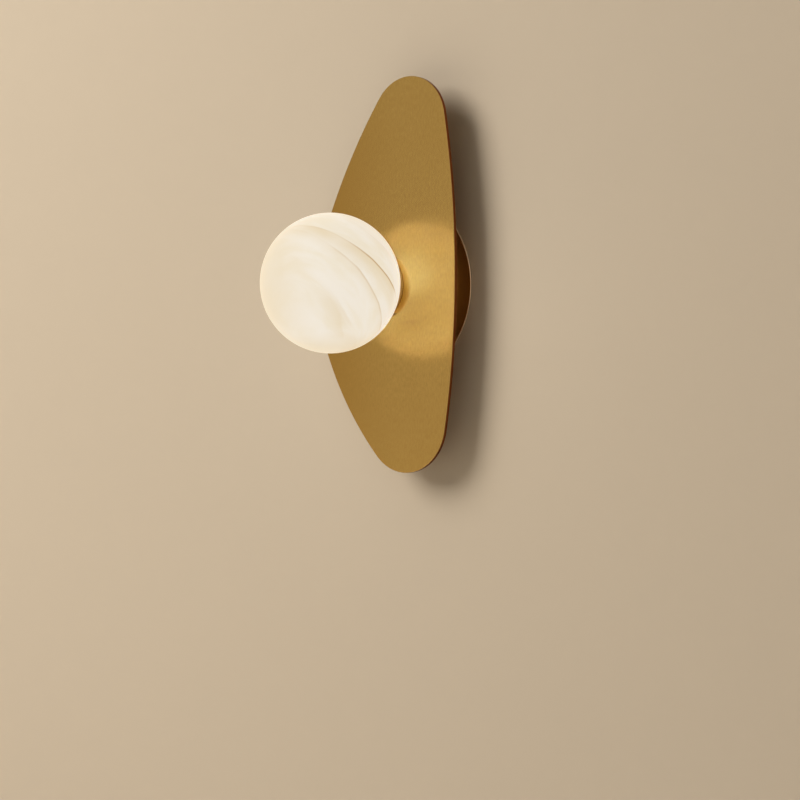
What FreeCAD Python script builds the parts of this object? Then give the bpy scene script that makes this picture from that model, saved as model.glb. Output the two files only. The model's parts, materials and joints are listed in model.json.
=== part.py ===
import FreeCAD, Part
import math
import os

# A wall sconce: a flat brass plate on a round canopy, with a glass globe in a cup in front of it.
# All sizes are in millimetres. The lamp axis runs straight out of the wall, along -Y.
# +Z is up and +X is to the right of someone who faces the wall. The origin is on the wall, on the
# lamp axis. "Out" is a distance from the wall into the room.

# Fits, the overrun of cutting tools, and how near two places count as one
SCREW_CLEARANCE = 0.05
HOLE_CLEARANCE = 0.1
SEAT_GAP = 0.3
OVERRUN = 5.0
SAME_PLACE = 0.005
PARALLEL_SHARE = 0.999

# Globe
GLOBE_RADIUS = 50.0
GLOBE_WALL = 3.5
GLOBE_GAP = 2.5
NECK_CLEARANCE = 1.5
NECK_FILLET = 1.2
NECK_END_ROUND = 0.9

# Front plate: three corner arcs joined by three long flank arcs
PLATE_THICKNESS = 3.0
PLATE_EDGE_CHAMFER = 0.4
TOP_CORNER_X = 28.0
TOP_CORNER_Z = 117.0
TOP_CORNER_RADIUS = 34.0
BOTTOM_CORNER_X = 25.5
BOTTOM_CORNER_Z = -99.0
BOTTOM_CORNER_RADIUS = 37.0
SIDE_CORNER_X = 17.5
SIDE_CORNER_Z = 1.2
SIDE_CORNER_RADIUS = 80.0
RIGHT_FLANK_RADIUS = 680.0
LOWER_FLANK_RADIUS = 245.0
UPPER_FLANK_RADIUS = 417.0

# Canopy: a spun drum, open towards the wall
CANOPY_RADIUS = 67.0
CANOPY_DEPTH = 21.5
CANOPY_SHEET = 1.2
CANOPY_FRONT_ROUND = 2.5
CANOPY_LIP = 0.6
CANOPY_LIP_DEPTH = 0.9

# Wall bracket: a steel strap with a tab bent out at each end
BRACKET_SHEET = 1.5
BRACKET_WIDTH = 28.0
BRACKET_BEND_RADIUS = 1.5
BRACKET_CLEARANCE = 0.5
TAB_WIDTH = 16.0
TAB_DEPTH = 14.0
TAB_NECK_LENGTH = 9.0
WALL_SLOT_SPACING = 70.0
WALL_SLOT_LENGTH = 14.0
WALL_SLOT_WIDTH = 5.0

# Cable bush, in the middle of the strap
BUSH_BORE_RADIUS = 4.5
BUSH_WALL = 2.5
BUSH_FLANGE = 2.0
BUSH_FLANGE_THICKNESS = 1.5
BUSH_ROUND = 0.6

# Terminal block: two towers on one base
BLOCK_GAP = 3.0
BLOCK_LENGTH = 14.0
BLOCK_HEIGHT = 12.0
BLOCK_BASE_THICKNESS = 3.0
BLOCK_POLE_SPACING = 11.0
BLOCK_TOWER_WIDTH = 6.4
BLOCK_WIRE_HEIGHT = 5.7
BLOCK_EDGE_ROUND = 0.8
INSERT_SIDE = 4.0
INSERT_BORE_RADIUS = 1.35
INSERT_RECESS = 0.6
CLAMP_SCREW_RADIUS = 1.4
CLAMP_SCREW_LENGTH = 2.6
CLAMP_SCREW_SPACING = 7.0
CLAMP_WELL_CLEARANCE = 0.35
CLAMP_SLOT_WIDTH = 0.5
CLAMP_SLOT_DEPTH = 0.6
BLOCK_SCREW_RADIUS = 1.25
BLOCK_SCREW_HEAD_RADIUS = 2.1
BLOCK_SCREW_HEAD_HEIGHT = 1.6

# Earth terminal on the strap, and the tag under the canopy nut
EARTH_SCREW_RADIUS = 2.0
EARTH_HEAD_RADIUS = 3.5
EARTH_HEAD_HEIGHT = 2.4
EARTH_GAP = 6.0
TAG_SHEET = 0.8
TAG_RING_WALL = 2.1
TAG_NECK_WIDTH = 3.0
TAG_NECK_LENGTH = 2.5
BARREL_WALL = 0.55
BARREL_LENGTH = 5.5
WIRE_GRIP = 3.0

# Hollow threaded nipple with its nuts and washers
NIPPLE_RADIUS = 5.0
NIPPLE_BORE_RADIUS = 4.0
NIPPLE_SHOW = 0.8
NIPPLE_END_CHAMFER = 0.5
NUT_ACROSS_FLATS = 14.0
NUT_HEIGHT = 3.0
NUT_CHAMFER_SLOPE = 0.58
WASHER_RADIUS = 8.6
WASHER_SHEET = 1.0
WASHER_TOOTH_COUNT = 12
WASHER_TOOTH_DEPTH = 1.4
WASHER_TOOTH_GAP = 1.3

# Locating pin that keeps canopy, plate and cup from turning on each other
PIN_RADIUS = 1.5
PIN_OFFSET = 12.0
PIN_HEAD_RADIUS = 2.6
PIN_HEAD_HEIGHT = 1.2

# Cup that holds the globe's neck
CUP_FLOOR = 1.5
CUP_WALL = 1.8
CUP_TO_NECK = 2.2
CUP_FOOT_ROUND = 0.6
SEAL_THICKNESS = 0.8
SEAL_OVERHANG = 1.0

# Holder bracket: a bridge of steel strip over the front nut
BRIDGE_SHEET = 1.2
BRIDGE_WIDTH = 11.0
BRIDGE_BEND_RADIUS = 0.6
BRIDGE_NUT_GAP = 0.4
BRIDGE_AIR = 1.0

# Ceramic lampholder
HOLDER_WIDTH = 18.0
HOLDER_DEPTH = 14.0
HOLDER_HEIGHT = 20.0
HOLDER_CORNER_RADIUS = 3.0
HOLDER_TOP_CHAMFER = 0.8
HOLDER_SCREW_SPACING = 24.0
EAR_RADIUS = 3.0
EAR_THICKNESS = 4.0
SOCKET_DEPTH = 6.0
WIRE_RECESS_DEPTH = 4.0
WIRE_RECESS_WIDTH = 14.2
WIRE_RECESS_BREADTH = 6.0
CONTACT_SLOT_WIDTH = 3.6
CONTACT_SLOT_BREADTH = 4.4
HOLDER_SCREW_RADIUS = 1.5
HOLDER_SCREW_HEAD_RADIUS = 2.6
HOLDER_SCREW_HEAD_HEIGHT = 2.0
HOLDER_SCREW_LENGTH = 6.0
CONTACT_SHEET = 0.4
CONTACT_BREADTH = 3.4
CONTACT_LEAF_HEIGHT = 8.0
CONTACT_SIDE_GAP = 0.3
CONTACT_FOOT_INNER = 1.4
CONTACT_FOOT_OVERLAP = 0.6

# Bulb: two looped pins, ceramic base, frosted capsule
BULB_PIN_SPACING = 9.0
BULB_PIN_RADIUS = 0.45
BULB_PIN_LOOP_RADIUS = 1.1
BULB_PIN_LENGTH = 6.0
BULB_FOOT_WIDTH = 14.0
BULB_FOOT_DEPTH = 5.0
BULB_FOOT_HEIGHT = 9.0
BULB_FOOT_ROUND = 1.5
BULB_COLLAR_RADIUS = 8.0
BULB_COLLAR_HEIGHT = 5.0
BULB_COLLAR_ROUND = 1.0
CAPSULE_RADIUS = 7.0
CAPSULE_WALL = 1.0
CAPSULE_LENGTH = 27.0
CORE_SIDE = 5.0
CORE_LENGTH = 20.0
CHIP_SIDE = 2.4
CHIP_THICKNESS = 0.6
CHIP_COUNT = 4

# Screws that hold the globe's neck
NECK_SCREW_RADIUS = 1.5
NECK_SCREW_TIP = 0.6
NECK_SCREW_SLOT_WIDTH = 0.5
NECK_SCREW_SLOT_DEPTH = 0.7
NECK_SCREW_ANGLES = {"globe_screw_upper": 60.0, "globe_screw_side": 180.0, "globe_screw_lower": 300.0}

# Screws that hold the canopy on the strap's tabs
CANOPY_SCREW_RADIUS = 1.95
CANOPY_SCREW_HEAD_RADIUS = 3.2
CANOPY_SCREW_HEAD_HEIGHT = 2.2
CANOPY_SCREW_OUT = 8.5
CANOPY_SCREW_PAST_TAB = 1.0
CANOPY_SCREW_HEAD_GAP = 0.2

# Screw heads and tips
DRIVE_SLOT_WIDTH = 0.8
DRIVE_SLOT_SHARE = 0.45
HEAD_CROWN_SHARE = 0.5
SCREW_TIP_SHARE = 0.45

# Insulated leads
LEAD_RADIUS = 1.0
LEAD_OFFSET = 2.4
LEAD_BEND_SHARE = 0.45
LEAD_TURN_RISE = 1.0
EARTH_LEAD_REACH = 33.0
EARTH_LEAD_RISE = 5.5
EARTH_LEAD_RUN = 22.0
EARTH_LEAD_HEIGHT_SHARES = (2 / 3, 1 / 3)

# Stations along the lamp axis, measured out from the wall
canopy_inside = CANOPY_DEPTH - CANOPY_SHEET
plate_back = CANOPY_DEPTH
plate_front = plate_back + PLATE_THICKNESS
cup_floor = plate_front + CUP_FLOOR
globe_centre = plate_front + GLOBE_GAP + GLOBE_RADIUS
neck_end = cup_floor + SEAL_THICKNESS + SEAT_GAP
canopy_tag_back = canopy_inside - TAG_SHEET
canopy_washer_back = canopy_tag_back - WASHER_SHEET
canopy_nut_back = canopy_washer_back - NUT_HEIGHT
nipple_back = canopy_nut_back - NIPPLE_SHOW
bridge_top = cup_floor + BRIDGE_SHEET
nipple_front = bridge_top + NUT_HEIGHT + NIPPLE_SHOW
holder_seat = nipple_front + BRIDGE_AIR
wire_recess_roof = holder_seat + WIRE_RECESS_DEPTH
holder_top = holder_seat + HOLDER_HEIGHT
socket_floor = holder_top - SOCKET_DEPTH
bulb_foot = socket_floor + SEAT_GAP
bulb_collar = bulb_foot + BULB_FOOT_HEIGHT
capsule_foot = bulb_collar + BULB_COLLAR_HEIGHT

# Radii round the lamp axis
holder_reach = HOLDER_SCREW_SPACING / 2 + EAR_RADIUS
neck_bore = holder_reach + NECK_CLEARANCE
neck_radius = neck_bore + GLOBE_WALL
cup_inner = neck_radius + CUP_TO_NECK
cup_radius = cup_inner + CUP_WALL
canopy_inner = CANOPY_RADIUS - CANOPY_SHEET
nipple_hole = NIPPLE_RADIUS + HOLE_CLEARANCE
nut_corner = NUT_ACROSS_FLATS / 2 / math.cos(math.pi / 6)
neck_root = globe_centre - math.sqrt(GLOBE_RADIUS ** 2 - neck_radius ** 2)
neck_screw_out = (neck_end + neck_root) / 2

# Places on the strap
tab_face = math.sqrt(canopy_inner ** 2 - (TAB_WIDTH / 2) ** 2) - BRACKET_CLEARANCE
bush_radius = BUSH_BORE_RADIUS + BUSH_WALL
bush_flange = bush_radius + BUSH_FLANGE
block_top_z = -(bush_flange + BLOCK_GAP)
block_centre_z = block_top_z - BLOCK_LENGTH / 2
block_wire_out = BRACKET_SHEET + BLOCK_WIRE_HEIGHT
tag_ring = EARTH_SCREW_RADIUS + HOLE_CLEARANCE + TAG_RING_WALL
earth_z = bush_flange + EARTH_GAP + tag_ring
barrel_radius = LEAD_RADIUS + SCREW_CLEARANCE + BARREL_WALL


def at(x, out, z):
    """A point: x to the right, out from the wall, z up."""
    return FreeCAD.Vector(x, -out, z)


AXIS_OUT = at(0, 1, 0)
AXIS_RIGHT = at(1, 0, 0)
AXIS_UP = at(0, 0, 1)
CENTRE = at(0, 0, 0)


def outline(place, start, *steps):
    """A closed flat face. Each step is the next point, or a pair: a point that an arc passes, and its end."""
    edges = []
    here = start
    for step in (*steps, start):
        if isinstance(step[0], tuple):
            via, end = step
            edges.append(Part.Arc(place(*here), place(*via), place(*end)).toShape())
        else:
            end = step
            edges.append(Part.makeLine(place(*here), place(*end)))
        here = end
    return Part.Face(Part.Wire(edges))


def turned(start, *steps):
    """A solid turned about the lamp axis, from a face whose points are (radius, out)."""
    face = outline(lambda radius, out: at(radius, out, 0), start, *steps)
    return face.revolve(CENTRE, AXIS_OUT, 360).Solids[0]


def rod(radius, out_from, out_to, x=0, z=0):
    """A round bar along the lamp axis."""
    return Part.makeCylinder(radius, out_to - out_from, at(x, out_from, z), AXIS_OUT)


def tube(radius, bore, out_from, out_to, x=0, z=0):
    outside = rod(radius, out_from, out_to, x, z)
    return outside.cut(rod(bore, out_from - OVERRUN, out_to + OVERRUN, x, z))


def block(x_from, x_to, out_from, out_to, z_from, z_to):
    corner = FreeCAD.Vector(x_from, -out_to, z_from)
    return Part.makeBox(x_to - x_from, out_to - out_from, z_to - z_from, corner)


def slab(x_half, z_half, out_from, out_to, corner_radius):
    """A block centred on the lamp axis whose four long edges are rounded."""
    solid = block(-x_half, x_half, out_from, out_to, -z_half, z_half)
    long_edges = [edge for edge in solid.Edges if is_along(edge, AXIS_OUT)]
    return solid.makeFillet(corner_radius, long_edges)


def is_along(edge, direction):
    first, last = edge.Vertexes[0].Point, edge.Vertexes[-1].Point
    run = last.sub(first)
    return run.Length > 0 and abs(run.dot(direction)) > PARALLEL_SHARE * run.Length


def edges_at(solid, out):
    """The edges that lie wholly in the plane at this distance from the wall."""
    return [edge for edge in solid.Edges
            if abs(edge.BoundBox.YMin + out) < SAME_PLACE and abs(edge.BoundBox.YMax + out) < SAME_PLACE]


def radial_placed(solid, angle):
    """Turns a solid made along +X to this angle round the lamp axis, counted from +X towards +Z."""
    solid.rotate(CENTRE, AXIS_OUT, angle)
    return solid


def hex_nut(back, height, bore):
    """A hexagon nut with both faces turned to a chamfer."""
    turns = [k * math.pi / 3 for k in range(6)]
    corners = [(nut_corner * math.cos(turn), nut_corner * math.sin(turn)) for turn in turns]
    hexagon = outline(lambda x, z: at(x, back, z), *corners).extrude(AXIS_OUT * height)
    flat = NUT_ACROSS_FLATS / 2
    fall = (nut_corner - flat) * NUT_CHAMFER_SLOPE
    dome = turned((0, back), (flat, back), (nut_corner, back + fall), (nut_corner, back + height - fall),
                  (flat, back + height), (0, back + height))
    return hexagon.common(dome).cut(rod(bore, back - OVERRUN, back + height + OVERRUN))


def ring_washer(radius, bore, back, sheet):
    """A shakeproof washer with teeth cut round its rim."""
    front = back + sheet
    washer = tube(radius, bore, back, front)
    root = radius - WASHER_TOOTH_DEPTH
    half = WASHER_TOOTH_GAP / 2
    for k in range(WASHER_TOOTH_COUNT):
        notch = block(root, radius + OVERRUN, back - OVERRUN, front + OVERRUN, -half, half)
        washer = washer.cut(radial_placed(notch, 360 * k / WASHER_TOOTH_COUNT))
    return washer


def headed_screw(shank_radius, tip, seat, head_radius, head_height):
    """A screw on the lamp axis, its head on the room side of its seat, with a domed head and a drive slot."""
    crown = head_height * HEAD_CROWN_SHARE
    top = seat + head_height
    lead_in = shank_radius * SCREW_TIP_SHARE
    via = (head_radius * math.cos(math.pi / 4), seat + crown + crown * math.sin(math.pi / 4))
    body = turned((0, tip), (shank_radius - lead_in, tip), (shank_radius, tip + lead_in),
                  (shank_radius, seat), (head_radius, seat), (head_radius, seat + crown), (via, (0, top)))
    half = DRIVE_SLOT_WIDTH / 2
    slot = block(-head_radius - OVERRUN, head_radius + OVERRUN, top - head_height * DRIVE_SLOT_SHARE,
                 top + OVERRUN, -half, half)
    return body.cut(slot)


def moved(solid, x, z):
    solid.translate(at(x, 0, z))
    return solid


def lead(points):
    """An insulated wire: straight runs joined by tangent arcs, as large as the runs allow."""
    edges = []
    radii = []
    start = points[0]
    for before, corner, after in zip(points, points[1:], points[2:]):
        come = corner.sub(before)
        leave = after.sub(corner)
        half_turn = come.getAngle(leave) / 2
        setback = LEAD_BEND_SHARE * min(come.Length, leave.Length)
        come.normalize()
        leave.normalize()
        enter = corner.sub(come * setback)
        end = corner.add(leave * setback)
        inward = leave.sub(come).normalize()
        radius = setback / math.tan(half_turn)
        middle = corner.add(inward * (radius / math.cos(half_turn) - radius))
        edges.append(Part.makeLine(start, enter))
        edges.append(Part.Arc(enter, middle, end).toShape())
        start = end
        radii.append(round(radius, 1))
    edges.append(Part.makeLine(start, points[-1]))
    path = Part.Wire(edges)
    section = Part.Wire(Part.makeCircle(LEAD_RADIUS, points[0], points[1].sub(points[0])))
    wire = path.makePipeShell([section], True, False)
    swept = math.pi * LEAD_RADIUS ** 2 * path.Length
    print("lead of %.1f mm, bends" % path.Length, radii, "volume %.4f of its sweep" % (wire.Volume / swept))
    return wire


# Front plate

def flank_centre(first, first_radius, second, second_radius, flank_radius):
    """The centre of the flank arc that holds two corner arcs and touches both from inside."""
    run = second.sub(first)
    reach_first = flank_radius - first_radius
    reach_second = flank_radius - second_radius
    along = (reach_first ** 2 - reach_second ** 2 + run.Length ** 2) / (2 * run.Length)
    aside = math.sqrt(reach_first ** 2 - along ** 2)
    unit = FreeCAD.Vector(run).normalize()
    square = unit.cross(AXIS_OUT)
    return first.add(unit * along).add(square * aside)


def arc_between(centre, radius, start, end):
    """The short arc round a centre from one point to the other."""
    middle = start.add(end) * (1 / 2)
    outward = middle.sub(centre).normalize()
    return Part.Arc(start, centre.add(outward * radius), end).toShape()


def plate_face():
    """The outline, walked from the top corner down the right flank, then back up by the side corner."""
    corners = [(at(TOP_CORNER_X, plate_back, TOP_CORNER_Z), TOP_CORNER_RADIUS),
               (at(BOTTOM_CORNER_X, plate_back, BOTTOM_CORNER_Z), BOTTOM_CORNER_RADIUS),
               (at(SIDE_CORNER_X, plate_back, SIDE_CORNER_Z), SIDE_CORNER_RADIUS)]
    flanks = [RIGHT_FLANK_RADIUS, LOWER_FLANK_RADIUS, UPPER_FLANK_RADIUS]
    centres = []
    for k, flank in enumerate(flanks):
        first, first_radius = corners[k]
        second, second_radius = corners[(k + 1) % len(corners)]
        centres.append(flank_centre(first, first_radius, second, second_radius, flank))
    edges = []
    for k, (corner, radius) in enumerate(corners):
        last = centres[k - 1]
        following = centres[k]
        start = corner.add(corner.sub(last).normalize() * radius)
        end = corner.add(corner.sub(following).normalize() * radius)
        edges.append(arc_between(corner, radius, start, end))
        second, second_radius = corners[(k + 1) % len(corners)]
        reach = second.add(second.sub(following).normalize() * second_radius)
        edges.append(arc_between(following, flanks[k], end, reach))
    return Part.Face(Part.Wire(edges))


def front_plate():
    plate = plate_face().extrude(AXIS_OUT * PLATE_THICKNESS)
    plate = plate.makeChamfer(PLATE_EDGE_CHAMFER, edges_at(plate, plate_front))
    plate = plate.cut(rod(nipple_hole, 0, plate_front + OVERRUN))
    return plate.cut(rod(PIN_RADIUS + SCREW_CLEARANCE, 0, plate_front + OVERRUN, z=PIN_OFFSET))


# Canopy and what joins it to the plate and the cup

def mid_round(centre, radius):
    """The middle point of a quarter round, in a section's (radius, out) plane."""
    reach = radius * math.cos(math.pi / 4)
    return (centre[0] + reach, centre[1] + reach)


def canopy():
    """A drum with a rounded front edge and a small bead where it meets the wall."""
    centre = (CANOPY_RADIUS - CANOPY_FRONT_ROUND, CANOPY_DEPTH - CANOPY_FRONT_ROUND)
    shell = turned(
        (nipple_hole, CANOPY_DEPTH),
        (nipple_hole, canopy_inside),
        (centre[0], canopy_inside),
        (mid_round(centre, CANOPY_FRONT_ROUND - CANOPY_SHEET), (canopy_inner, centre[1])),
        (canopy_inner, 0),
        (CANOPY_RADIUS, 0),
        ((CANOPY_RADIUS + CANOPY_LIP, CANOPY_LIP_DEPTH / 2), (CANOPY_RADIUS, CANOPY_LIP_DEPTH)),
        (CANOPY_RADIUS, centre[1]),
        (mid_round(centre, CANOPY_FRONT_ROUND), (centre[0], CANOPY_DEPTH)),
    )
    shell = shell.cut(rod(PIN_RADIUS + SCREW_CLEARANCE, 0, CANOPY_DEPTH + OVERRUN, z=PIN_OFFSET))
    reach = CANOPY_RADIUS + OVERRUN
    start = at(0, CANOPY_SCREW_OUT, -reach)
    return shell.cut(Part.makeCylinder(CANOPY_SCREW_RADIUS + SCREW_CLEARANCE, 2 * reach, start, AXIS_UP))


def nipple():
    small = NIPPLE_RADIUS - NIPPLE_END_CHAMFER
    return turned((NIPPLE_BORE_RADIUS, nipple_back), (small, nipple_back),
                  (NIPPLE_RADIUS, nipple_back + NIPPLE_END_CHAMFER),
                  (NIPPLE_RADIUS, nipple_front - NIPPLE_END_CHAMFER),
                  (small, nipple_front), (NIPPLE_BORE_RADIUS, nipple_front))


def locating_pin():
    """A rivet-headed pin, its head inside the canopy and its end flush with the cup's floor."""
    back = canopy_inside - PIN_HEAD_HEIGHT
    head = rod(PIN_HEAD_RADIUS, back, canopy_inside, z=PIN_OFFSET)
    return head.fuse(rod(PIN_RADIUS, back, cup_floor, z=PIN_OFFSET)).removeSplitter()


def cup():
    """The wall runs on to the globe's middle, and the ball cuts it back to a rim that follows the globe."""
    shell = turned((nipple_hole, plate_front), (cup_radius - CUP_FOOT_ROUND, plate_front),
                   (cup_radius, plate_front + CUP_FOOT_ROUND), (cup_radius, globe_centre),
                   (cup_inner, globe_centre), (cup_inner, cup_floor), (nipple_hole, cup_floor))
    shell = shell.cut(Part.makeSphere(GLOBE_RADIUS + SEAT_GAP, at(0, globe_centre, 0)))
    shell = shell.cut(rod(PIN_RADIUS + SCREW_CLEARANCE, 0, cup_floor + OVERRUN, z=PIN_OFFSET))
    for angle in NECK_SCREW_ANGLES.values():
        hole = Part.makeCylinder(NECK_SCREW_RADIUS + SCREW_CLEARANCE, cup_radius + OVERRUN,
                                 at(0, neck_screw_out, 0), AXIS_RIGHT)
        shell = shell.cut(radial_placed(hole, angle))
    return shell


def neck_seal():
    return tube(neck_radius + SEAL_OVERHANG, neck_bore, cup_floor, cup_floor + SEAL_THICKNESS)


def globe_screw(angle):
    """A slotted grub screw, flush with the cup, whose tip stands just off the neck."""
    tip = neck_radius + SEAT_GAP
    point = NECK_SCREW_RADIUS - NECK_SCREW_TIP
    body = turned((0, tip), (point, tip), (NECK_SCREW_RADIUS, tip + NECK_SCREW_TIP),
                  (NECK_SCREW_RADIUS, cup_radius), (0, cup_radius))
    half = NECK_SCREW_SLOT_WIDTH / 2
    wide = NECK_SCREW_RADIUS + OVERRUN
    body = body.cut(block(-wide, wide, cup_radius - NECK_SCREW_SLOT_DEPTH, cup_radius + OVERRUN, -half, half))
    body.rotate(CENTRE, AXIS_UP, 90)
    body.translate(at(0, neck_screw_out, 0))
    return radial_placed(body, angle)


def canopy_screw(side):
    """A round-headed screw through the canopy's side into the tab; side is 1 at the top, -1 at the bottom."""
    seat = CANOPY_RADIUS + CANOPY_SCREW_HEAD_GAP
    tip = tab_face - BRACKET_SHEET - CANOPY_SCREW_PAST_TAB
    screw = headed_screw(CANOPY_SCREW_RADIUS, tip, seat, CANOPY_SCREW_HEAD_RADIUS, CANOPY_SCREW_HEAD_HEIGHT)
    screw.rotate(CENTRE, AXIS_RIGHT, -90 * side)
    screw.translate(at(0, CANOPY_SCREW_OUT, 0))
    return screw


# Wall bracket and what it carries

def wall_bracket():
    """The strap and its tabs are one bent strip, narrower at the tabs than at the middle."""
    inside = BRACKET_BEND_RADIUS
    outside = BRACKET_BEND_RADIUS + BRACKET_SHEET
    bend = tab_face - outside
    turn_in = math.cos(math.pi / 4)
    side = outline(
        lambda z, out: at(-BRACKET_WIDTH / 2, out, z),
        (-tab_face, TAB_DEPTH),
        (-tab_face, outside),
        ((-bend - outside * turn_in, outside - outside * turn_in), (-bend, 0)),
        (bend, 0),
        ((bend + outside * turn_in, outside - outside * turn_in), (tab_face, outside)),
        (tab_face, TAB_DEPTH),
        (tab_face - BRACKET_SHEET, TAB_DEPTH),
        (tab_face - BRACKET_SHEET, outside),
        ((bend + inside * turn_in, outside - inside * turn_in), (bend, BRACKET_SHEET)),
        (-bend, BRACKET_SHEET),
        ((-bend - inside * turn_in, outside - inside * turn_in), (-tab_face + BRACKET_SHEET, outside)),
        (-tab_face + BRACKET_SHEET, TAB_DEPTH),
    )
    strap = side.extrude(at(BRACKET_WIDTH, 0, 0))
    for end in (-1, 1):
        for flank in (-1, 1):
            low, high = sorted((end * (tab_face - TAB_NECK_LENGTH), end * (tab_face + OVERRUN)))
            left, right = sorted((flank * TAB_WIDTH / 2, flank * (BRACKET_WIDTH / 2 + OVERRUN)))
            strap = strap.cut(block(left, right, -OVERRUN, TAB_DEPTH + OVERRUN, low, high))
        slot_z = end * WALL_SLOT_SPACING / 2
        half_run = (WALL_SLOT_LENGTH - WALL_SLOT_WIDTH) / 2
        for z in (slot_z - half_run, slot_z + half_run):
            strap = strap.cut(rod(WALL_SLOT_WIDTH / 2, -OVERRUN, BRACKET_SHEET + OVERRUN, z=z))
        strap = strap.cut(block(-WALL_SLOT_WIDTH / 2, WALL_SLOT_WIDTH / 2, -OVERRUN, BRACKET_SHEET + OVERRUN,
                                slot_z - half_run, slot_z + half_run))
    for radius, z in ((bush_radius + SCREW_CLEARANCE, 0), (EARTH_SCREW_RADIUS + SCREW_CLEARANCE, earth_z),
                      (BLOCK_SCREW_RADIUS + SCREW_CLEARANCE, block_centre_z)):
        strap = strap.cut(rod(radius, -OVERRUN, BRACKET_SHEET + OVERRUN, z=z))
    reach = tab_face + OVERRUN
    tapped = Part.makeCylinder(CANOPY_SCREW_RADIUS + SCREW_CLEARANCE, 2 * reach,
                               at(0, CANOPY_SCREW_OUT, -reach), AXIS_UP)
    return strap.cut(tapped)


def cable_bush():
    """A rubber bush with a rounded flange on the room side, flush with the strap's back."""
    front = BRACKET_SHEET + BUSH_FLANGE_THICKNESS
    shoulder = front - BUSH_ROUND
    return turned((BUSH_BORE_RADIUS, 0), (bush_radius, 0), (bush_radius, BRACKET_SHEET),
                  (bush_flange, BRACKET_SHEET), (bush_flange, shoulder), (bush_flange - BUSH_ROUND, front),
                  (BUSH_BORE_RADIUS + BUSH_ROUND, front), (BUSH_BORE_RADIUS, shoulder))


def clamp_places():
    """The x and z of each wire clamp screw."""
    for pole in (-1, 1):
        for end in (-1, 1):
            yield pole * BLOCK_POLE_SPACING / 2, block_centre_z + end * CLAMP_SCREW_SPACING / 2


def terminal_block():
    base_half = BLOCK_POLE_SPACING / 2 + BLOCK_TOWER_WIDTH / 2
    low, high = block_centre_z - BLOCK_LENGTH / 2, block_centre_z + BLOCK_LENGTH / 2
    body = block(-base_half, base_half, BRACKET_SHEET, BRACKET_SHEET + BLOCK_BASE_THICKNESS, low, high)
    top = BRACKET_SHEET + BLOCK_HEIGHT
    for pole in (-1, 1):
        x = pole * BLOCK_POLE_SPACING / 2
        tower = block(x - BLOCK_TOWER_WIDTH / 2, x + BLOCK_TOWER_WIDTH / 2, BRACKET_SHEET, top, low, high)
        long_edges = [edge for edge in edges_at(tower, top) if is_along(edge, AXIS_UP)]
        body = body.fuse(tower.makeFillet(BLOCK_EDGE_ROUND, long_edges))
    body = body.removeSplitter()
    half = INSERT_SIDE / 2
    for pole in (-1, 1):
        x = pole * BLOCK_POLE_SPACING / 2
        body = body.cut(block(x - half, x + half, block_wire_out - half, block_wire_out + half,
                              low - OVERRUN, high + OVERRUN))
    for x, z in clamp_places():
        body = body.cut(rod(CLAMP_SCREW_RADIUS + CLAMP_WELL_CLEARANCE, block_wire_out, top + OVERRUN, x, z))
    return body.cut(rod(BLOCK_SCREW_RADIUS + SCREW_CLEARANCE, 0, top, z=block_centre_z))


def terminal_inserts():
    """Two square brass bars, bored from end to end for the wires."""
    half = INSERT_SIDE / 2
    low = block_centre_z - BLOCK_LENGTH / 2 + INSERT_RECESS
    length = BLOCK_LENGTH - 2 * INSERT_RECESS
    inserts = []
    for pole in (-1, 1):
        x = pole * BLOCK_POLE_SPACING / 2
        bar = block(x - half, x + half, block_wire_out - half, block_wire_out + half, low, low + length)
        start = at(x, block_wire_out, low - OVERRUN)
        inserts.append(bar.cut(Part.makeCylinder(INSERT_BORE_RADIUS, length + 2 * OVERRUN, start, AXIS_UP)))
    return Part.makeCompound(inserts)


def terminal_clamp_screws():
    """A headless slotted screw over each end of each insert."""
    seat = block_wire_out + INSERT_SIDE / 2
    top = seat + CLAMP_SCREW_LENGTH
    slot_floor = top - CLAMP_SLOT_DEPTH
    half = CLAMP_SLOT_WIDTH / 2
    reach = CLAMP_SCREW_RADIUS + OVERRUN
    screws = []
    for x, z in clamp_places():
        screw = rod(CLAMP_SCREW_RADIUS, seat, top, x, z)
        screws.append(screw.cut(block(x - reach, x + reach, slot_floor, top + OVERRUN, z - half, z + half)))
    return Part.makeCompound(screws)


def terminal_block_screw():
    screw = headed_screw(BLOCK_SCREW_RADIUS, 0, BRACKET_SHEET + BLOCK_BASE_THICKNESS,
                         BLOCK_SCREW_HEAD_RADIUS, BLOCK_SCREW_HEAD_HEIGHT)
    return moved(screw, 0, block_centre_z)


def earth_screw():
    seat = BRACKET_SHEET + TAG_SHEET + WASHER_SHEET
    return moved(headed_screw(EARTH_SCREW_RADIUS, 0, seat, EARTH_HEAD_RADIUS, EARTH_HEAD_HEIGHT), 0, earth_z)


def earth_washer():
    bore = EARTH_SCREW_RADIUS + HOLE_CLEARANCE
    back = BRACKET_SHEET + TAG_SHEET
    return moved(tube(bore + TAG_RING_WALL, bore, back, back + WASHER_SHEET), 0, earth_z)


def ring_tag(ring, bore, back, barrel_out):
    """A crimp tag: a flat ring, a neck to the right and a barrel that grips the lead."""
    neck_to = ring + TAG_NECK_LENGTH
    half = TAG_NECK_WIDTH / 2
    front = back + TAG_SHEET
    sheet = rod(ring, back, front).fuse(block(0, neck_to + TAG_SHEET, back, front, -half, half))
    barrel = Part.makeCylinder(barrel_radius, BARREL_LENGTH, at(neck_to, barrel_out, 0), AXIS_RIGHT)
    grip = Part.makeCylinder(LEAD_RADIUS + SCREW_CLEARANCE, BARREL_LENGTH + 2 * OVERRUN,
                             at(neck_to - OVERRUN, barrel_out, 0), AXIS_RIGHT)
    tag = sheet.fuse(barrel).removeSplitter().cut(grip)
    return tag.cut(rod(bore, back - OVERRUN, front + OVERRUN)).Solids[0]


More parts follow.
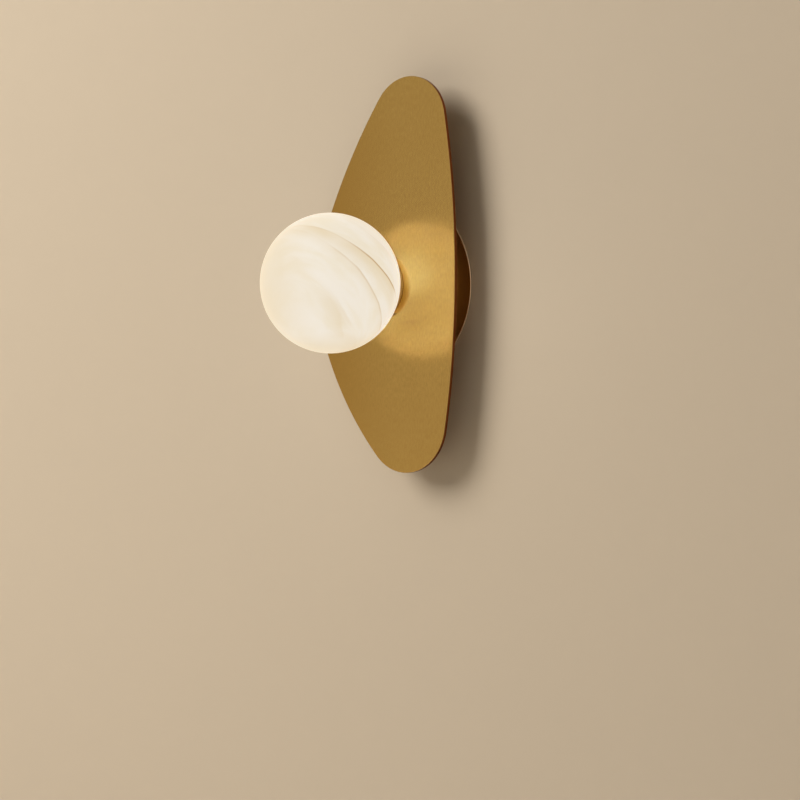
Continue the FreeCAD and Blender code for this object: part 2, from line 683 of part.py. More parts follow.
def bracket_tag_lead_end():
    return at(tag_ring + TAG_NECK_LENGTH + BARREL_LENGTH - WIRE_GRIP, BRACKET_SHEET + barrel_radius, earth_z)


def canopy_tag_lead_end():
    return at(WASHER_RADIUS + TAG_NECK_LENGTH + BARREL_LENGTH - WIRE_GRIP, canopy_inside - barrel_radius, 0)


def earth_tag():
    bore = EARTH_SCREW_RADIUS + HOLE_CLEARANCE
    return moved(ring_tag(tag_ring, bore, BRACKET_SHEET, BRACKET_SHEET + barrel_radius), 0, earth_z)


def canopy_earth_tag():
    return ring_tag(WASHER_RADIUS, nipple_hole, canopy_tag_back, canopy_inside - barrel_radius)


def supply_lead(side):
    """From the contact in the holder, through the nipple, into one pole of the terminal block."""
    x = side * LEAD_OFFSET
    pole_x = side * BLOCK_POLE_SPACING / 2
    turn_z = block_top_z + LEAD_TURN_RISE
    grip_z = block_top_z - INSERT_RECESS - WIRE_GRIP
    return lead([at(x, wire_recess_roof - CONTACT_SHEET, 0), at(x, block_wire_out, 0),
                 at(pole_x, block_wire_out, turn_z), at(pole_x, block_wire_out, grip_z)])


def earth_lead():
    """From the tag on the strap, round in a loop beside the strap, to the tag under the canopy nut."""
    start = bracket_tag_lead_end()
    end = canopy_tag_lead_end()
    low_out = -start.y
    high_out = -end.y
    upper, lower = (start.z * share for share in EARTH_LEAD_HEIGHT_SHARES)
    return lead([start, at(EARTH_LEAD_RUN, low_out, start.z),
                 at(EARTH_LEAD_REACH, low_out + EARTH_LEAD_RISE, upper),
                 at(EARTH_LEAD_REACH, high_out - EARTH_LEAD_RISE, lower),
                 at(EARTH_LEAD_RUN, high_out, 0), end])


# Lampholder

def holder_bracket():
    """A bridge of strip: its foot is clamped under the front nut and its two wings carry the holder."""
    arm_in = nut_corner + BRIDGE_NUT_GAP
    arm_out = arm_in + BRIDGE_SHEET
    wing = holder_reach
    bend = BRIDGE_BEND_RADIUS
    under = holder_seat - BRIDGE_SHEET
    path = outline(
        lambda x, out: at(x, out, -BRIDGE_WIDTH / 2),
        (-arm_out, cup_floor), (arm_out, cup_floor), (arm_out, under), (wing, under), (wing, holder_seat),
        (arm_in, holder_seat), (arm_in, bridge_top), (-arm_in, bridge_top), (-arm_in, holder_seat),
        (-wing, holder_seat), (-wing, under), (-arm_out, under),
    )
    strip = path.extrude(at(0, 0, BRIDGE_WIDTH))
    folds = [edge for edge in strip.Edges
             if is_along(edge, AXIS_UP) and abs(edge.Vertexes[0].Point.x) < wing - bend]
    strip = strip.makeFillet(bend, folds)
    strip = strip.common(rod(wing, cup_floor - OVERRUN, holder_seat + OVERRUN))
    strip = strip.cut(rod(nipple_hole, cup_floor - OVERRUN, holder_seat + OVERRUN))
    for side in (-1, 1):
        strip = strip.cut(rod(HOLDER_SCREW_RADIUS + SCREW_CLEARANCE, cup_floor, holder_seat + OVERRUN,
                              x=side * HOLDER_SCREW_SPACING / 2))
    return strip


def lampholder():
    """A ceramic body with two ears, a socket in front, a wire recess behind and two contact slots between."""
    body = slab(HOLDER_WIDTH / 2, HOLDER_DEPTH / 2, holder_seat, holder_top, HOLDER_CORNER_RADIUS)
    body = body.makeChamfer(HOLDER_TOP_CHAMFER, edges_at(body, holder_top))
    ear_top = holder_seat + EAR_THICKNESS
    ear_x = HOLDER_SCREW_SPACING / 2
    ears = block(-ear_x, ear_x, holder_seat, ear_top, -EAR_RADIUS, EAR_RADIUS)
    for x in (-ear_x, ear_x):
        ears = ears.fuse(rod(EAR_RADIUS, holder_seat, ear_top, x))
    body = body.fuse(ears).removeSplitter()
    hole = HOLDER_SCREW_RADIUS + SCREW_CLEARANCE
    for x in (-ear_x, ear_x):
        body = body.cut(rod(hole, holder_seat - OVERRUN, ear_top + OVERRUN, x))
    socket_x = BULB_FOOT_WIDTH / 2 + SEAT_GAP
    socket_z = BULB_FOOT_DEPTH / 2 + SEAT_GAP
    body = body.cut(slab(socket_x, socket_z, socket_floor, holder_top + OVERRUN, BULB_FOOT_ROUND))
    half_width, half_breadth = WIRE_RECESS_WIDTH / 2, WIRE_RECESS_BREADTH / 2
    body = body.cut(block(-half_width, half_width, holder_seat - OVERRUN, wire_recess_roof,
                          -half_breadth, half_breadth))
    half_width, half_breadth = CONTACT_SLOT_WIDTH / 2, CONTACT_SLOT_BREADTH / 2
    for side in (-1, 1):
        x = side * BULB_PIN_SPACING / 2
        body = body.cut(block(x - half_width, x + half_width, holder_seat, holder_top,
                              -half_breadth, half_breadth))
    return body


def lampholder_contacts():
    """Each contact is a bent strip: a foot on the recess roof and two leaves that stand beside the pin."""
    leaf_in = BULB_PIN_RADIUS + CONTACT_SIDE_GAP
    leaf_out = leaf_in + CONTACT_SHEET
    half = CONTACT_BREADTH / 2
    foot = wire_recess_roof - CONTACT_SHEET
    tip = wire_recess_roof + CONTACT_LEAF_HEIGHT
    foot_outer = BULB_PIN_SPACING / 2 + CONTACT_SLOT_WIDTH / 2 + CONTACT_FOOT_OVERLAP
    contacts = []
    for side in (-1, 1):
        x = side * BULB_PIN_SPACING / 2
        near, far = sorted((side * CONTACT_FOOT_INNER, side * foot_outer))
        contact = block(near, far, foot, wire_recess_roof, -half, half)
        for leaf in (-leaf_out, leaf_in):
            contact = contact.fuse(block(x + leaf, x + leaf + CONTACT_SHEET, foot, tip, -half, half))
        contacts.append(contact.removeSplitter())
    return Part.makeCompound(contacts)


def holder_screws():
    seat = holder_seat + EAR_THICKNESS
    screws = []
    for side in (-1, 1):
        screw = headed_screw(HOLDER_SCREW_RADIUS, seat - HOLDER_SCREW_LENGTH, seat,
                             HOLDER_SCREW_HEAD_RADIUS, HOLDER_SCREW_HEAD_HEIGHT)
        screws.append(moved(screw, side * HOLDER_SCREW_SPACING / 2, 0))
    return Part.makeCompound(screws)


# Bulb

def bulb_pins():
    """Two wire loops, each a hairpin that hangs from the base into its contact."""
    pins = []
    for side in (-1, 1):
        x = side * BULB_PIN_SPACING / 2
        turn = bulb_foot - BULB_PIN_LENGTH + BULB_PIN_LOOP_RADIUS + BULB_PIN_RADIUS
        legs = [at(x, bulb_foot, BULB_PIN_LOOP_RADIUS), at(x, turn, BULB_PIN_LOOP_RADIUS),
                at(x, turn, -BULB_PIN_LOOP_RADIUS), at(x, bulb_foot, -BULB_PIN_LOOP_RADIUS)]
        loop = Part.Arc(legs[1], at(x, turn - BULB_PIN_LOOP_RADIUS, 0), legs[2]).toShape()
        path = Part.Wire([Part.makeLine(legs[0], legs[1]), loop, Part.makeLine(legs[2], legs[3])])
        section = Part.Wire(Part.makeCircle(BULB_PIN_RADIUS, legs[0], AXIS_OUT))
        pins.append(path.makePipeShell([section], True, False))
    return Part.makeCompound(pins)


def bulb_base():
    """A flat foot that fits the socket, under a round collar that the capsule stands in."""
    foot = slab(BULB_FOOT_WIDTH / 2, BULB_FOOT_DEPTH / 2, bulb_foot, bulb_collar, BULB_FOOT_ROUND)
    rim = BULB_COLLAR_RADIUS - BULB_COLLAR_ROUND
    low, high = bulb_collar + BULB_COLLAR_ROUND, capsule_foot - BULB_COLLAR_ROUND
    collar = turned((0, bulb_collar), (rim, bulb_collar), (BULB_COLLAR_RADIUS, low),
                    (BULB_COLLAR_RADIUS, high), (rim, capsule_foot), (0, capsule_foot))
    return foot.fuse(collar).removeSplitter()


def bulb_capsule():
    """A frosted tube closed by a dome, hollow inside."""
    inner = CAPSULE_RADIUS - CAPSULE_WALL
    dome = capsule_foot + CAPSULE_LENGTH - CAPSULE_RADIUS
    tilt = math.cos(math.pi / 4)
    return turned((inner, capsule_foot), (CAPSULE_RADIUS, capsule_foot), (CAPSULE_RADIUS, dome),
                  ((CAPSULE_RADIUS * tilt, dome + CAPSULE_RADIUS * tilt), (0, dome + CAPSULE_RADIUS)),
                  (0, dome + inner), ((inner * tilt, dome + inner * tilt), (inner, dome)))


def bulb_core():
    """The light source: a square post with a row of light chips down each side."""
    half = CORE_SIDE / 2
    core = block(-half, half, capsule_foot, capsule_foot + CORE_LENGTH, -half, half)
    pitch = CORE_LENGTH / CHIP_COUNT
    chips = []
    for k in range(CHIP_COUNT):
        middle = capsule_foot + pitch * (k + 1 / 2)
        low, high = middle - CHIP_SIDE / 2, middle + CHIP_SIDE / 2
        reach = half + CHIP_THICKNESS
        chips.append(block(-reach, reach, low, high, -CHIP_SIDE / 2, CHIP_SIDE / 2))
        chips.append(block(-CHIP_SIDE / 2, CHIP_SIDE / 2, low, high, -reach, reach))
    return core.fuse(chips).removeSplitter()


# Globe

def globe():
    """A blown ball with a short ground neck, open at the back."""
    inner = GLOBE_RADIUS - GLOBE_WALL
    inner_root = globe_centre - math.sqrt(inner ** 2 - neck_bore ** 2)
    ball = turned((neck_bore, neck_end), (neck_radius, neck_end), (neck_radius, neck_root),
                  ((GLOBE_RADIUS, globe_centre), (0, globe_centre + GLOBE_RADIUS)),
                  (0, globe_centre + inner), ((inner, globe_centre), (neck_bore, inner_root)))
    ball = ball.makeFillet(NECK_FILLET, edges_at(ball, neck_root))
    return ball.makeFillet(NECK_END_ROUND, edges_at(ball, neck_end))


# Every piece under its file's name

PIECES = {
    "wall_bracket": wall_bracket,
    "cable_bush": cable_bush,
    "terminal_block": terminal_block,
    "terminal_inserts": terminal_inserts,
    "terminal_clamp_screws": terminal_clamp_screws,
    "terminal_block_screw": terminal_block_screw,
    "earth_screw": earth_screw,
    "earth_washer": earth_washer,
    "earth_tag": earth_tag,
    "canopy_earth_tag": canopy_earth_tag,
    "earth_lead": earth_lead,
    "live_lead": lambda: supply_lead(1),
    "neutral_lead": lambda: supply_lead(-1),
    "canopy": canopy,
    "nipple": nipple,
    "canopy_washer": lambda: ring_washer(WASHER_RADIUS, nipple_hole, canopy_washer_back, WASHER_SHEET),
    "canopy_nut": lambda: hex_nut(canopy_nut_back, NUT_HEIGHT, NIPPLE_RADIUS + SCREW_CLEARANCE),
    "locating_pin": locating_pin,
    "front_plate": front_plate,
    "cup": cup,
    "neck_seal": neck_seal,
    "holder_bracket": holder_bracket,
    "holder_nut": lambda: hex_nut(bridge_top, NUT_HEIGHT, NIPPLE_RADIUS + SCREW_CLEARANCE),
    "lampholder": lampholder,
    "lampholder_contacts": lampholder_contacts,
    "holder_screws": holder_screws,
    "bulb_pins": bulb_pins,
    "bulb_base": bulb_base,
    "bulb_capsule": bulb_capsule,
    "bulb_core": bulb_core,
    "globe": globe,
    "canopy_screw_top": lambda: canopy_screw(1),
    "canopy_screw_bottom": lambda: canopy_screw(-1),
}
for screw_name, screw_angle in NECK_SCREW_ANGLES.items():
    PIECES[screw_name] = lambda angle=screw_angle: globe_screw(angle)

os.makedirs("parts", exist_ok=True)
for name, make in PIECES.items():
    shape = make()
    shape.exportStep("parts/" + name + ".step")
    print("%-22s" % name, "solids", len(shape.Solids), "valid", shape.isValid(), "volume %.1f" % shape.Volume)
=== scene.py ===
import json
import math

import bmesh
import bpy
from mathutils import Matrix, Vector

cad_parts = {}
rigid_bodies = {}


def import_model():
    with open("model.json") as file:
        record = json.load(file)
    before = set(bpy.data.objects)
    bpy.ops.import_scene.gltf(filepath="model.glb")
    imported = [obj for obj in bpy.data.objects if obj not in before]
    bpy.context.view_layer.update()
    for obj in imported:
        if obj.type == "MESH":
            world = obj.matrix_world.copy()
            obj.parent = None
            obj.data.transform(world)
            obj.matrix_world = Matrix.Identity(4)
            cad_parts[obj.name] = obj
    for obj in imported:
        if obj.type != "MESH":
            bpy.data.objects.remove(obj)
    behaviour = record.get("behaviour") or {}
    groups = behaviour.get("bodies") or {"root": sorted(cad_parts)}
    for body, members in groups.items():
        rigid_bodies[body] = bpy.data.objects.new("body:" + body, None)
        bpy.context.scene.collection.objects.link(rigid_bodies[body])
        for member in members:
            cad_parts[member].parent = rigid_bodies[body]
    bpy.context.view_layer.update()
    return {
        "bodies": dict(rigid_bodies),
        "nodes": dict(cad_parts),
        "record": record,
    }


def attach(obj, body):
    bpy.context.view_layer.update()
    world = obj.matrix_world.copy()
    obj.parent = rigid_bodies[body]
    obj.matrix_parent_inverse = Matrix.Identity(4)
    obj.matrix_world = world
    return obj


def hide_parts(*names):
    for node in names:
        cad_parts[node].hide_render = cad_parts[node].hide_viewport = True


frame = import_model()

# A wall sconce: a glowing glass globe in a cup, on a flat brass plate that stands off a round canopy.
# Sizes are written in millimetres. The lamp axis runs straight out of the wall, along -Y, and "out" is
# a distance from the wall into the room.
MM = 0.001

# How finely round shapes are divided, and how near two points are one
ROUND_STEPS = 192
SMALL_STEPS = 64
SCREW_STEPS = 48
LEAD_STEPS = 24
LEAD_RESOLUTION = 14
MERGE = 0.001
CAD_MERGE = 0.002
DRILL_MERGE = 0.0001
TINY = 1e-6

# Angles in degrees: edges that bend more stay sharp, and CAD facets that bend less become one face
SHARP = 35
CAD_SHARP = 30
CAD_FACET = 0.5

# Globe
GLOBE_RADIUS = 50.0
GLOBE_WALL = 3.5
GLOBE_OUT = 77.0
GLOBE_SHARP = 50
NECK_END = 27.1
NECK_BORE = 16.5
NECK_RADIUS = 20.0
NECK_FILLET = 1.2
NECK_END_ROUND = 0.9

# Front plate: three corner arcs, (x, z, radius), joined by three long flank arcs
PLATE_BACK = 21.5
PLATE_FRONT = 24.5
PLATE_CORNERS = [(28.0, 117.0, 34.0), (25.5, -99.0, 37.0), (17.5, 1.2, 80.0)]
PLATE_FLANKS = [680.0, 245.0, 417.0]
PLATE_BACK_BREAK = 0.2
PLATE_EDGE_ROUND = 0.4
PLATE_RIM_BAND = 0.8
PLATE_STEP = 1.6
PLATE_SHARP = 60

# Canopy; its flat and its side are divided at a few radii and heights
CANOPY_RADIUS = 67.0
CANOPY_SHEET = 1.2
CANOPY_ROUND = 2.5
CANOPY_LIP = 0.6
CANOPY_LIP_DEPTH = 0.9
CANOPY_ABOVE_LIP = 1.4
CANOPY_RIM_BREAK = 0.1
CANOPY_INSIDE = 20.3
CANOPY_FLAT_RINGS = [20.0, 45.0]
CANOPY_SIDE_RINGS = [5.0, 12.0]
CANOPY_SCREW_OUT = 8.5
CANOPY_SCREW_RADIUS = 1.95
CANOPY_DRILL = (50.0, 72.0)

# Cup
CUP_RADIUS = 24.0
CUP_INNER = 22.2
CUP_TAPER = 0.8
CUP_FLOOR = 26.0
CUP_BALL = 50.3
CUP_ROUND = 0.6
CUP_RIM_ROUND = 0.15
CUP_FILLET = 0.5
CUP_SHARP = 40
CUP_SCREW_OUT = 29.137
CUP_SCREW_RADIUS = 1.5
CUP_SCREWS = {"globe_screw_upper": 60.0, "globe_screw_side": 180.0, "globe_screw_lower": 300.0}
CUP_DRILL = (18.0, 30.0)

# Nipple, the holes it goes through, and washer
NIPPLE_RADIUS = 5.0
NIPPLE_BORE = 4.0
NIPPLE_BACK = 14.7
NIPPLE_FRONT = 31.0
NIPPLE_CHAMFER = 0.5
NIPPLE_PITCH = 1.0
NIPPLE_HOLE = NIPPLE_RADIUS + 0.1
WASHER_BACK = 18.5
WASHER_FRONT = 19.5
WASHER_ROOT = 7.2
WASHER_RADIUS = 8.6
WASHER_EDGE = 0.15
WASHER_TEETH = 12
TOOTH_OVERLAP = 0.2
TOOTH_GAP = 1.3
TOOTH_SHEET = 0.62
TOOTH_TWIST = 0.13

# Locating pin; a drill is a little wider than what goes through its hole, and the pin's runs past it
PIN_Z = 12.0
PIN_RADIUS = 1.5
PIN_HEAD_RADIUS = 2.6
PIN_BACK = 19.1
PIN_HEAD_ROUND = 0.5
PIN_SEAT_ROUND = 0.1
PIN_TIP_ROUND = 0.25
DRILL_CLEARANCE = 0.05
DRILL_PAST = 2.0

# On the strap; the earth washer is its bore, radius, back and front
BLOCK_Z = -19.0
POLE_SPACING = 11.0
CLAMP_SPACING = 7.0
WIRE_OUT = 7.2
EARTH_Z = 19.2
EARTH_WASHER = (2.1, 4.2, 2.3, 3.3)
EARTH_WASHER_EDGE = 0.2
BUSH_BORE = 4.5
BUSH_NECK = 7.0
BUSH_FLANGE = 9.0
BUSH_FLANGE_BACK = 1.5
BUSH_FRONT = 3.0

# Seal, lampholder and bulb
SEAL_RADIUS = 21.0
SEAL_FRONT = 26.8
SEAL_EDGE = 0.25
HOLDER_SCREW_SPACING = 24.0
CAPSULE_FOOT = 60.3
CAPSULE_LENGTH = 27.0
CAPSULE_RADIUS = 7.0
CAPSULE_WALL = 1.0
POST_HALF = 2.5
POST_LENGTH = 20.0
POST_EDGE = 0.3
CHIP_ROWS = 4
CHIP_REACH = POST_HALF + 0.25
CHIP_SIDE = 2.4
CHIP_THICKNESS = 0.7

# Screws on Z: slotted ones with a domed head on its seat, and grub screws
SIDE_SCREW = dict(shank=CANOPY_SCREW_RADIUS, tip=62.312, seat=67.2, head=3.2, rise=2.2, pitch=0.7)
BLOCK_SCREW = dict(shank=1.25, tip=0.0, seat=4.5, head=2.1, rise=1.6, pitch=0.45)
EARTH_SCREW = dict(shank=2.0, tip=0.0, seat=3.3, head=3.5, rise=2.4, pitch=0.7)
EAR_SCREW = dict(shank=1.5, tip=30.0, seat=36.0, head=2.6, rise=2.0, pitch=0.5)
CUP_GRUB = dict(radius=CUP_SCREW_RADIUS, tip=20.3, top=24.0, slot_depth=0.7)
CLAMP_GRUB = dict(radius=1.4, tip=9.2, top=11.8, slot_depth=0.6)
SCREW_LEAD_IN = 0.45
HEAD_BREAK = 0.15
SLOT_WIDTH = 0.8
SLOT_SHARE = 0.45
GRUB_LEAD_IN = 0.4
GRUB_BREAK = 0.2
GRUB_SLOT = 0.5
GRUB_PITCH = 0.5
SLOT_PAST = 1.0
THREAD_RINGS = 8
THREAD_DEPTH = 0.6
# What counts as the shank, as shares of its radius
ON_SHANK = (0.985, 1.015)

# Leads: (x, out, z) along each; the live one's is mirrored for the neutral one
LEAD_RADIUS = 1.0
LEAD_X = 2.4
POLE_X = POLE_SPACING / 2
LIVE_ROUTE = [(LEAD_X, 35.6, 0), (LEAD_X, 13.5, 0), (LEAD_X, WIRE_OUT, 0), (POLE_X, WIRE_OUT, -11.0),
              (POLE_X, WIRE_OUT, -15.6)]
EARTH_ROUTE = [(9.2, 3.1, EARTH_Z), (22, 3.1, EARTH_Z), (33, 8.6, 12.8), (33, 13.2, 6.4), (22, 18.7, 0),
               (13.6, 18.7, 0)]

# Turns a piece that stands on Z to point out of the wall, with its Y up
OUT_OF_WALL = Matrix.Rotation(math.pi / 2, 4, "X")


def at(x, out, z):
    """A point in metres, from millimetres across, out of the wall and up."""
    return Vector((x, -out, z)) * MM


def srgb(red, green, blue):
    """A colour written as 0 to 255 in sRGB, as the renderer's linear value."""
    def linear(part):
        part /= 255
        return part / 12.92 if part <= 0.04045 else ((part + 0.055) / 1.055) ** 2.4
    return (linear(red), linear(green), linear(blue), 1.0)


# Shapes

def add_object(name, data):
    """An object at the origin, put into the scene."""
    made = bpy.data.objects.new(name, data)
    bpy.context.scene.collection.objects.link(made)
    return made


def shade(mesh, sharp):
    """Smooth shading, apart from the edges that bend more than this."""
    mesh.shade_smooth()
    mesh.set_sharp_from_angle(angle=math.radians(sharp))


def merge(bm, distance):
    """Makes points nearer than this, in millimetres, one."""
    bmesh.ops.remove_doubles(bm, verts=bm.verts, dist=distance * MM)


def store(bm, mesh):
    """Writes the faces into the mesh."""
    bm.to_mesh(mesh)
    bm.free()
    return mesh


def finish_mesh(name, bm, sharp=SHARP):
    """A piece from a mesh in metres: its doubles merged and its faces pointing outwards."""
    merge(bm, MERGE)
    bmesh.ops.recalc_face_normals(bm, faces=bm.faces)
    mesh = store(bm, bpy.data.meshes.new(name))
    shade(mesh, sharp)
    return add_object(name, mesh)


def around(steps):
    """Angles round a full circle."""
    return [2 * math.pi * k / steps for k in range(steps)]


def quarter(steps):
    """Angles from 0 to a right angle, both ends with them."""
    return [math.pi / 2 * k / steps for k in range(steps + 1)]


def arc(centre, radius, start, end, steps):
    """Points round a centre in a section's (radius, out) plane; angles in degrees from +radius to +out."""
    turns = [math.radians(start + (end - start) * k / steps) for k in range(steps + 1)]
    return [(centre[0] + radius * math.cos(turn), centre[1] + radius * math.sin(turn)) for turn in turns]


def softened(*corners, steps=5):
    """A closed section whose corners, (a, b) or (a, b, radius), are rounded."""
    points = []
    for k, corner in enumerate(corners):
        here = Vector(corner[:2])
        radius = corner[2] if len(corner) > 2 else 0
        if not radius:
            points.append(tuple(here))
            continue
        come = (Vector(corners[k - 1][:2]) - here).normalized()
        leave = (Vector(corners[(k + 1) % len(corners)][:2]) - here).normalized()
        half = come.angle(leave) / 2
        centre = here + (come + leave).normalized() * (radius / math.sin(half))
        first = here + come * (radius / math.tan(half)) - centre
        last = here + leave * (radius / math.tan(half)) - centre
        sweep = first.angle_signed(last)
        for j in range(steps + 1):
            turn = Matrix.Rotation(-sweep * j / steps, 2)
            points.append(tuple(centre + turn @ first))
    return points


def ring_section(inner, outer, low, high, edge, steps=5):
    """The section of a plain ring with rounded edges."""
    corners = ((inner, low), (outer, low), (outer, high), (inner, high))
    return softened(*((*corner, edge) for corner in corners), steps=steps)


def bridge(bm, ring, following):
    """Faces between two closed rings of points; at a ring that is one point they are triangles."""
    for k in range(len(ring)):
        nxt = (k + 1) % len(ring)
        corners = list(dict.fromkeys([ring[k], ring[nxt], following[nxt], following[k]]))
        if len(corners) > 2:
            bm.faces.new(corners)


def spun(name, profile, steps=SMALL_STEPS, sharp=SHARP):
    """A closed section, a loop of (radius, height) points, spun about Z; flat ends are single faces."""
    bm = bmesh.new()
    rings = []
    for radius, height in profile:
        if radius < TINY:
            rings.append([bm.verts.new(Vector((0, 0, height)) * MM)] * steps)
        else:
            rings.append([bm.verts.new(Vector((radius * math.cos(t), radius * math.sin(t), height)) * MM)
                          for t in around(steps)])
    for ring, following in zip(rings, rings[1:] + rings[:1]):
        level = abs(ring[0].co.z - following[0].co.z) < TINY * MM
        if level and (ring[0] is ring[1] or following[0] is following[1]):
            bm.faces.new(following if ring[0] is ring[1] else ring)
        else:
            bridge(bm, ring, following)
    for vertex in [v for v in bm.verts if not v.link_edges]:
        bm.verts.remove(vertex)
    return finish_mesh(name, bm, sharp)


def placed(piece, matrix):
    """Moves the piece's mesh; its object stays at the origin."""
    piece.data.transform(matrix)
    return piece


def turned(name, profile, steps=ROUND_STEPS, sharp=SHARP):
    """A piece spun about the lamp axis, from (radius, out) points."""
    return placed(spun(name, profile, steps, sharp), OUT_OF_WALL)


def evaluated_mesh(thing):
    """An object's shape with its modifiers, as a plain mesh."""
    depsgraph = bpy.context.evaluated_depsgraph_get()
    return bpy.data.meshes.new_from_object(thing.evaluated_get(depsgraph), depsgraph=depsgraph)


def applied(piece, sharp=SHARP):
    """Makes the evaluated shape the piece's own mesh, and takes its modifiers off."""
    mesh = evaluated_mesh(piece)
    piece.modifiers.clear()
    old = piece.data
    piece.data = mesh
    bpy.data.meshes.remove(old)
    mesh.name = piece.name
    shade(mesh, sharp)
    return piece


def discard(piece):
    """Takes an object and its mesh away."""
    mesh = piece.data
    bpy.data.objects.remove(piece)
    bpy.data.meshes.remove(mesh)


def drilled(piece, *drills):
    """Cuts the drills, objects that stand clear of each other, out of the piece in one go."""
    together = bmesh.new()
    for drill in drills:
        together.from_mesh(drill.data)
        discard(drill)
    cutter = finish_mesh("cutter", together)
    cut = piece.modifiers.new("drill", "BOOLEAN")
    cut.operation = "DIFFERENCE"
    cut.solver = "EXACT"
    cut.object = cutter
    applied(piece)
    discard(cutter)
    bm = bmesh.new()
    bm.from_mesh(piece.data)
    merge(bm, DRILL_MERGE)
    store(bm, piece.data)
    return piece


def drill_rod(radius, start, end):
    """A round cutter, a little wider than this radius, from one point to another in metres."""
    bm = bmesh.new()
    run = end - start
    place = Matrix.Translation((start + end) / 2) @ run.to_track_quat("Z", "Y").to_matrix().to_4x4()
    wide = (radius + DRILL_CLEARANCE) * MM
    bmesh.ops.create_cone(bm, cap_ends=True, segments=SCREW_STEPS, radius1=wide, radius2=wide,
                          depth=run.length, matrix=place)
    return finish_mesh("drill", bm)


def boxed(name, x, y, z):
    """A plain box from three (low, high) pairs."""
    bm = bmesh.new()
    size = [pair[1] - pair[0] for pair in (x, y, z)]
    middle = [(pair[0] + pair[1]) / 2 for pair in (x, y, z)]
    place = Matrix.Translation(Vector(middle) * MM) @ Matrix.Diagonal((*(Vector(size) * MM), 1))
    bmesh.ops.create_cube(bm, size=1, matrix=place)
    return finish_mesh(name, bm)


def dressed(cad_node, name, edge, steps):
    """A copy of a CAD node's shape with its edges rounded and its flat faces shaded flat."""
    mesh = frame["nodes"][cad_node].data.copy()
    mesh.materials.clear()
    mesh.name = name
    bm = bmesh.new()
    bm.from_mesh(mesh)
    merge(bm, CAD_MERGE)
    bmesh.ops.dissolve_limit(bm, angle_limit=math.radians(CAD_FACET), verts=bm.verts, edges=bm.edges)
    shade(store(bm, mesh), CAD_SHARP)
    piece = add_object(name, mesh)
    bevel = piece.modifiers.new("edge", "BEVEL")
    bevel.width = edge * MM
    bevel.segments = steps
    bevel.limit_method = "ANGLE"
    bevel.angle_limit = math.radians(CAD_SHARP)
    bevel.use_clamp_overlap = True
    applied(piece, CAD_SHARP)
    piece.modifiers.new("level", "WEIGHTED_NORMAL").keep_sharp = True
    return applied(piece, CAD_SHARP)


# Screws

def threaded(low, high, radius, pitch):
    """The (radius, height) points of a shank, close enough together to carry a thread."""
    count = max(2, round((high - low) / pitch * THREAD_RINGS))
    return [(radius, low + (high - low) * k / count) for k in range(count + 1)]


def slot_cutter(radius, width, top, depth):
    """The cutter for a drive slot across a screw's top."""
    reach = radius + SLOT_PAST
    return boxed("slot", (-reach, reach), (-width / 2, width / 2), (top - depth, top + SLOT_PAST))


def cut_thread(piece, finish, pitch, crest, start, end):
    """Cuts a thread into the shank, with crests at this radius, between two heights."""
    return grown(piece, thread_tree, finish, Pitch=pitch * MM, Depth=THREAD_DEPTH * pitch * MM,
                 Crest=crest * MM, Start=start * MM, End=end * MM)


def slotted_screw(name, finish, shank, tip, seat, head, rise, pitch):
    """A screw on Z with a domed head on its seat, a drive slot and a cut thread."""
    lead_in = SCREW_LEAD_IN * shank
    crown, top = seat + rise / 2, seat + rise
    dome = [(head * math.cos(t), crown + rise / 2 * math.sin(t)) for t in quarter(8)]
    profile = ([(0, tip), (shank - lead_in, tip)] + threaded(tip + lead_in, seat, shank, pitch)
               + [(head - HEAD_BREAK, seat), (head, seat + HEAD_BREAK)] + dome[:-1] + [(0, top)])
    screw = spun(name, profile, SCREW_STEPS)
    drilled(screw, slot_cutter(head, SLOT_WIDTH, top, SLOT_SHARE * rise))
    return cut_thread(screw, finish, pitch, shank, tip, seat - pitch)


def grub_screw(name, finish, radius, tip, top, slot_depth):
    """A headless screw on Z, slotted across its top."""
    lead_in = GRUB_LEAD_IN * radius
    profile = ([(0, tip), (radius - lead_in, tip)]
               + threaded(tip + lead_in, top - GRUB_BREAK, radius, GRUB_PITCH)
               + [(radius - GRUB_BREAK, top), (0, top)])
    screw = spun(name, profile, SCREW_STEPS)
    drilled(screw, slot_cutter(radius, GRUB_SLOT, top, slot_depth))
    return cut_thread(screw, finish, GRUB_PITCH, radius, tip, top)


# Node tools: where a tree needs a number or a colour, it takes a plain value or another node's output

def feed(tree, socket, value):
    """Links an output to this input, or sets the input's plain value."""
    if isinstance(value, bpy.types.NodeSocket):
        tree.links.new(value, socket)
    elif value is not None:
        socket.default_value = value


def node(tree, kind, inputs=(), **settings):
    """A node with these properties; inputs are a list in the node's order, or a dict by name or place."""
    made = tree.nodes.new(kind)
    for key, value in settings.items():
        setattr(made, key, value)
    for key, value in inputs.items() if isinstance(inputs, dict) else enumerate(inputs):
        feed(tree, made.inputs[key], value)
    return made


def math_node(tree, operation, *values):
    """What a sum, a comparison or another operation gives."""
    return node(tree, "ShaderNodeMath", values, operation=operation).outputs[0]


def product(tree, *values):
    """All the values multiplied together."""
    total = values[0]
    for value in values[1:]:
        total = math_node(tree, "MULTIPLY", total, value)
    return total


def map_range(tree, value, low, high, to_low=0.0, to_high=1.0, kind="LINEAR"):
    """Takes low to to_low and high to to_high, and no further."""
    inputs = {"Value": value, "From Min": low, "From Max": high, "To Min": to_low, "To Max": to_high}
    return node(tree, "ShaderNodeMapRange", inputs, interpolation_type=kind).outputs["Result"]


def eased(tree, value, low, high, to_low=0.0, to_high=1.0):
    """As map_range, with soft ends."""
    return map_range(tree, value, low, high, to_low, to_high, "SMOOTHSTEP")


def combine(tree, x=None, y=None, z=None):
    """A vector from its parts."""
    return node(tree, "ShaderNodeCombineXYZ", [x, y, z]).outputs[0]


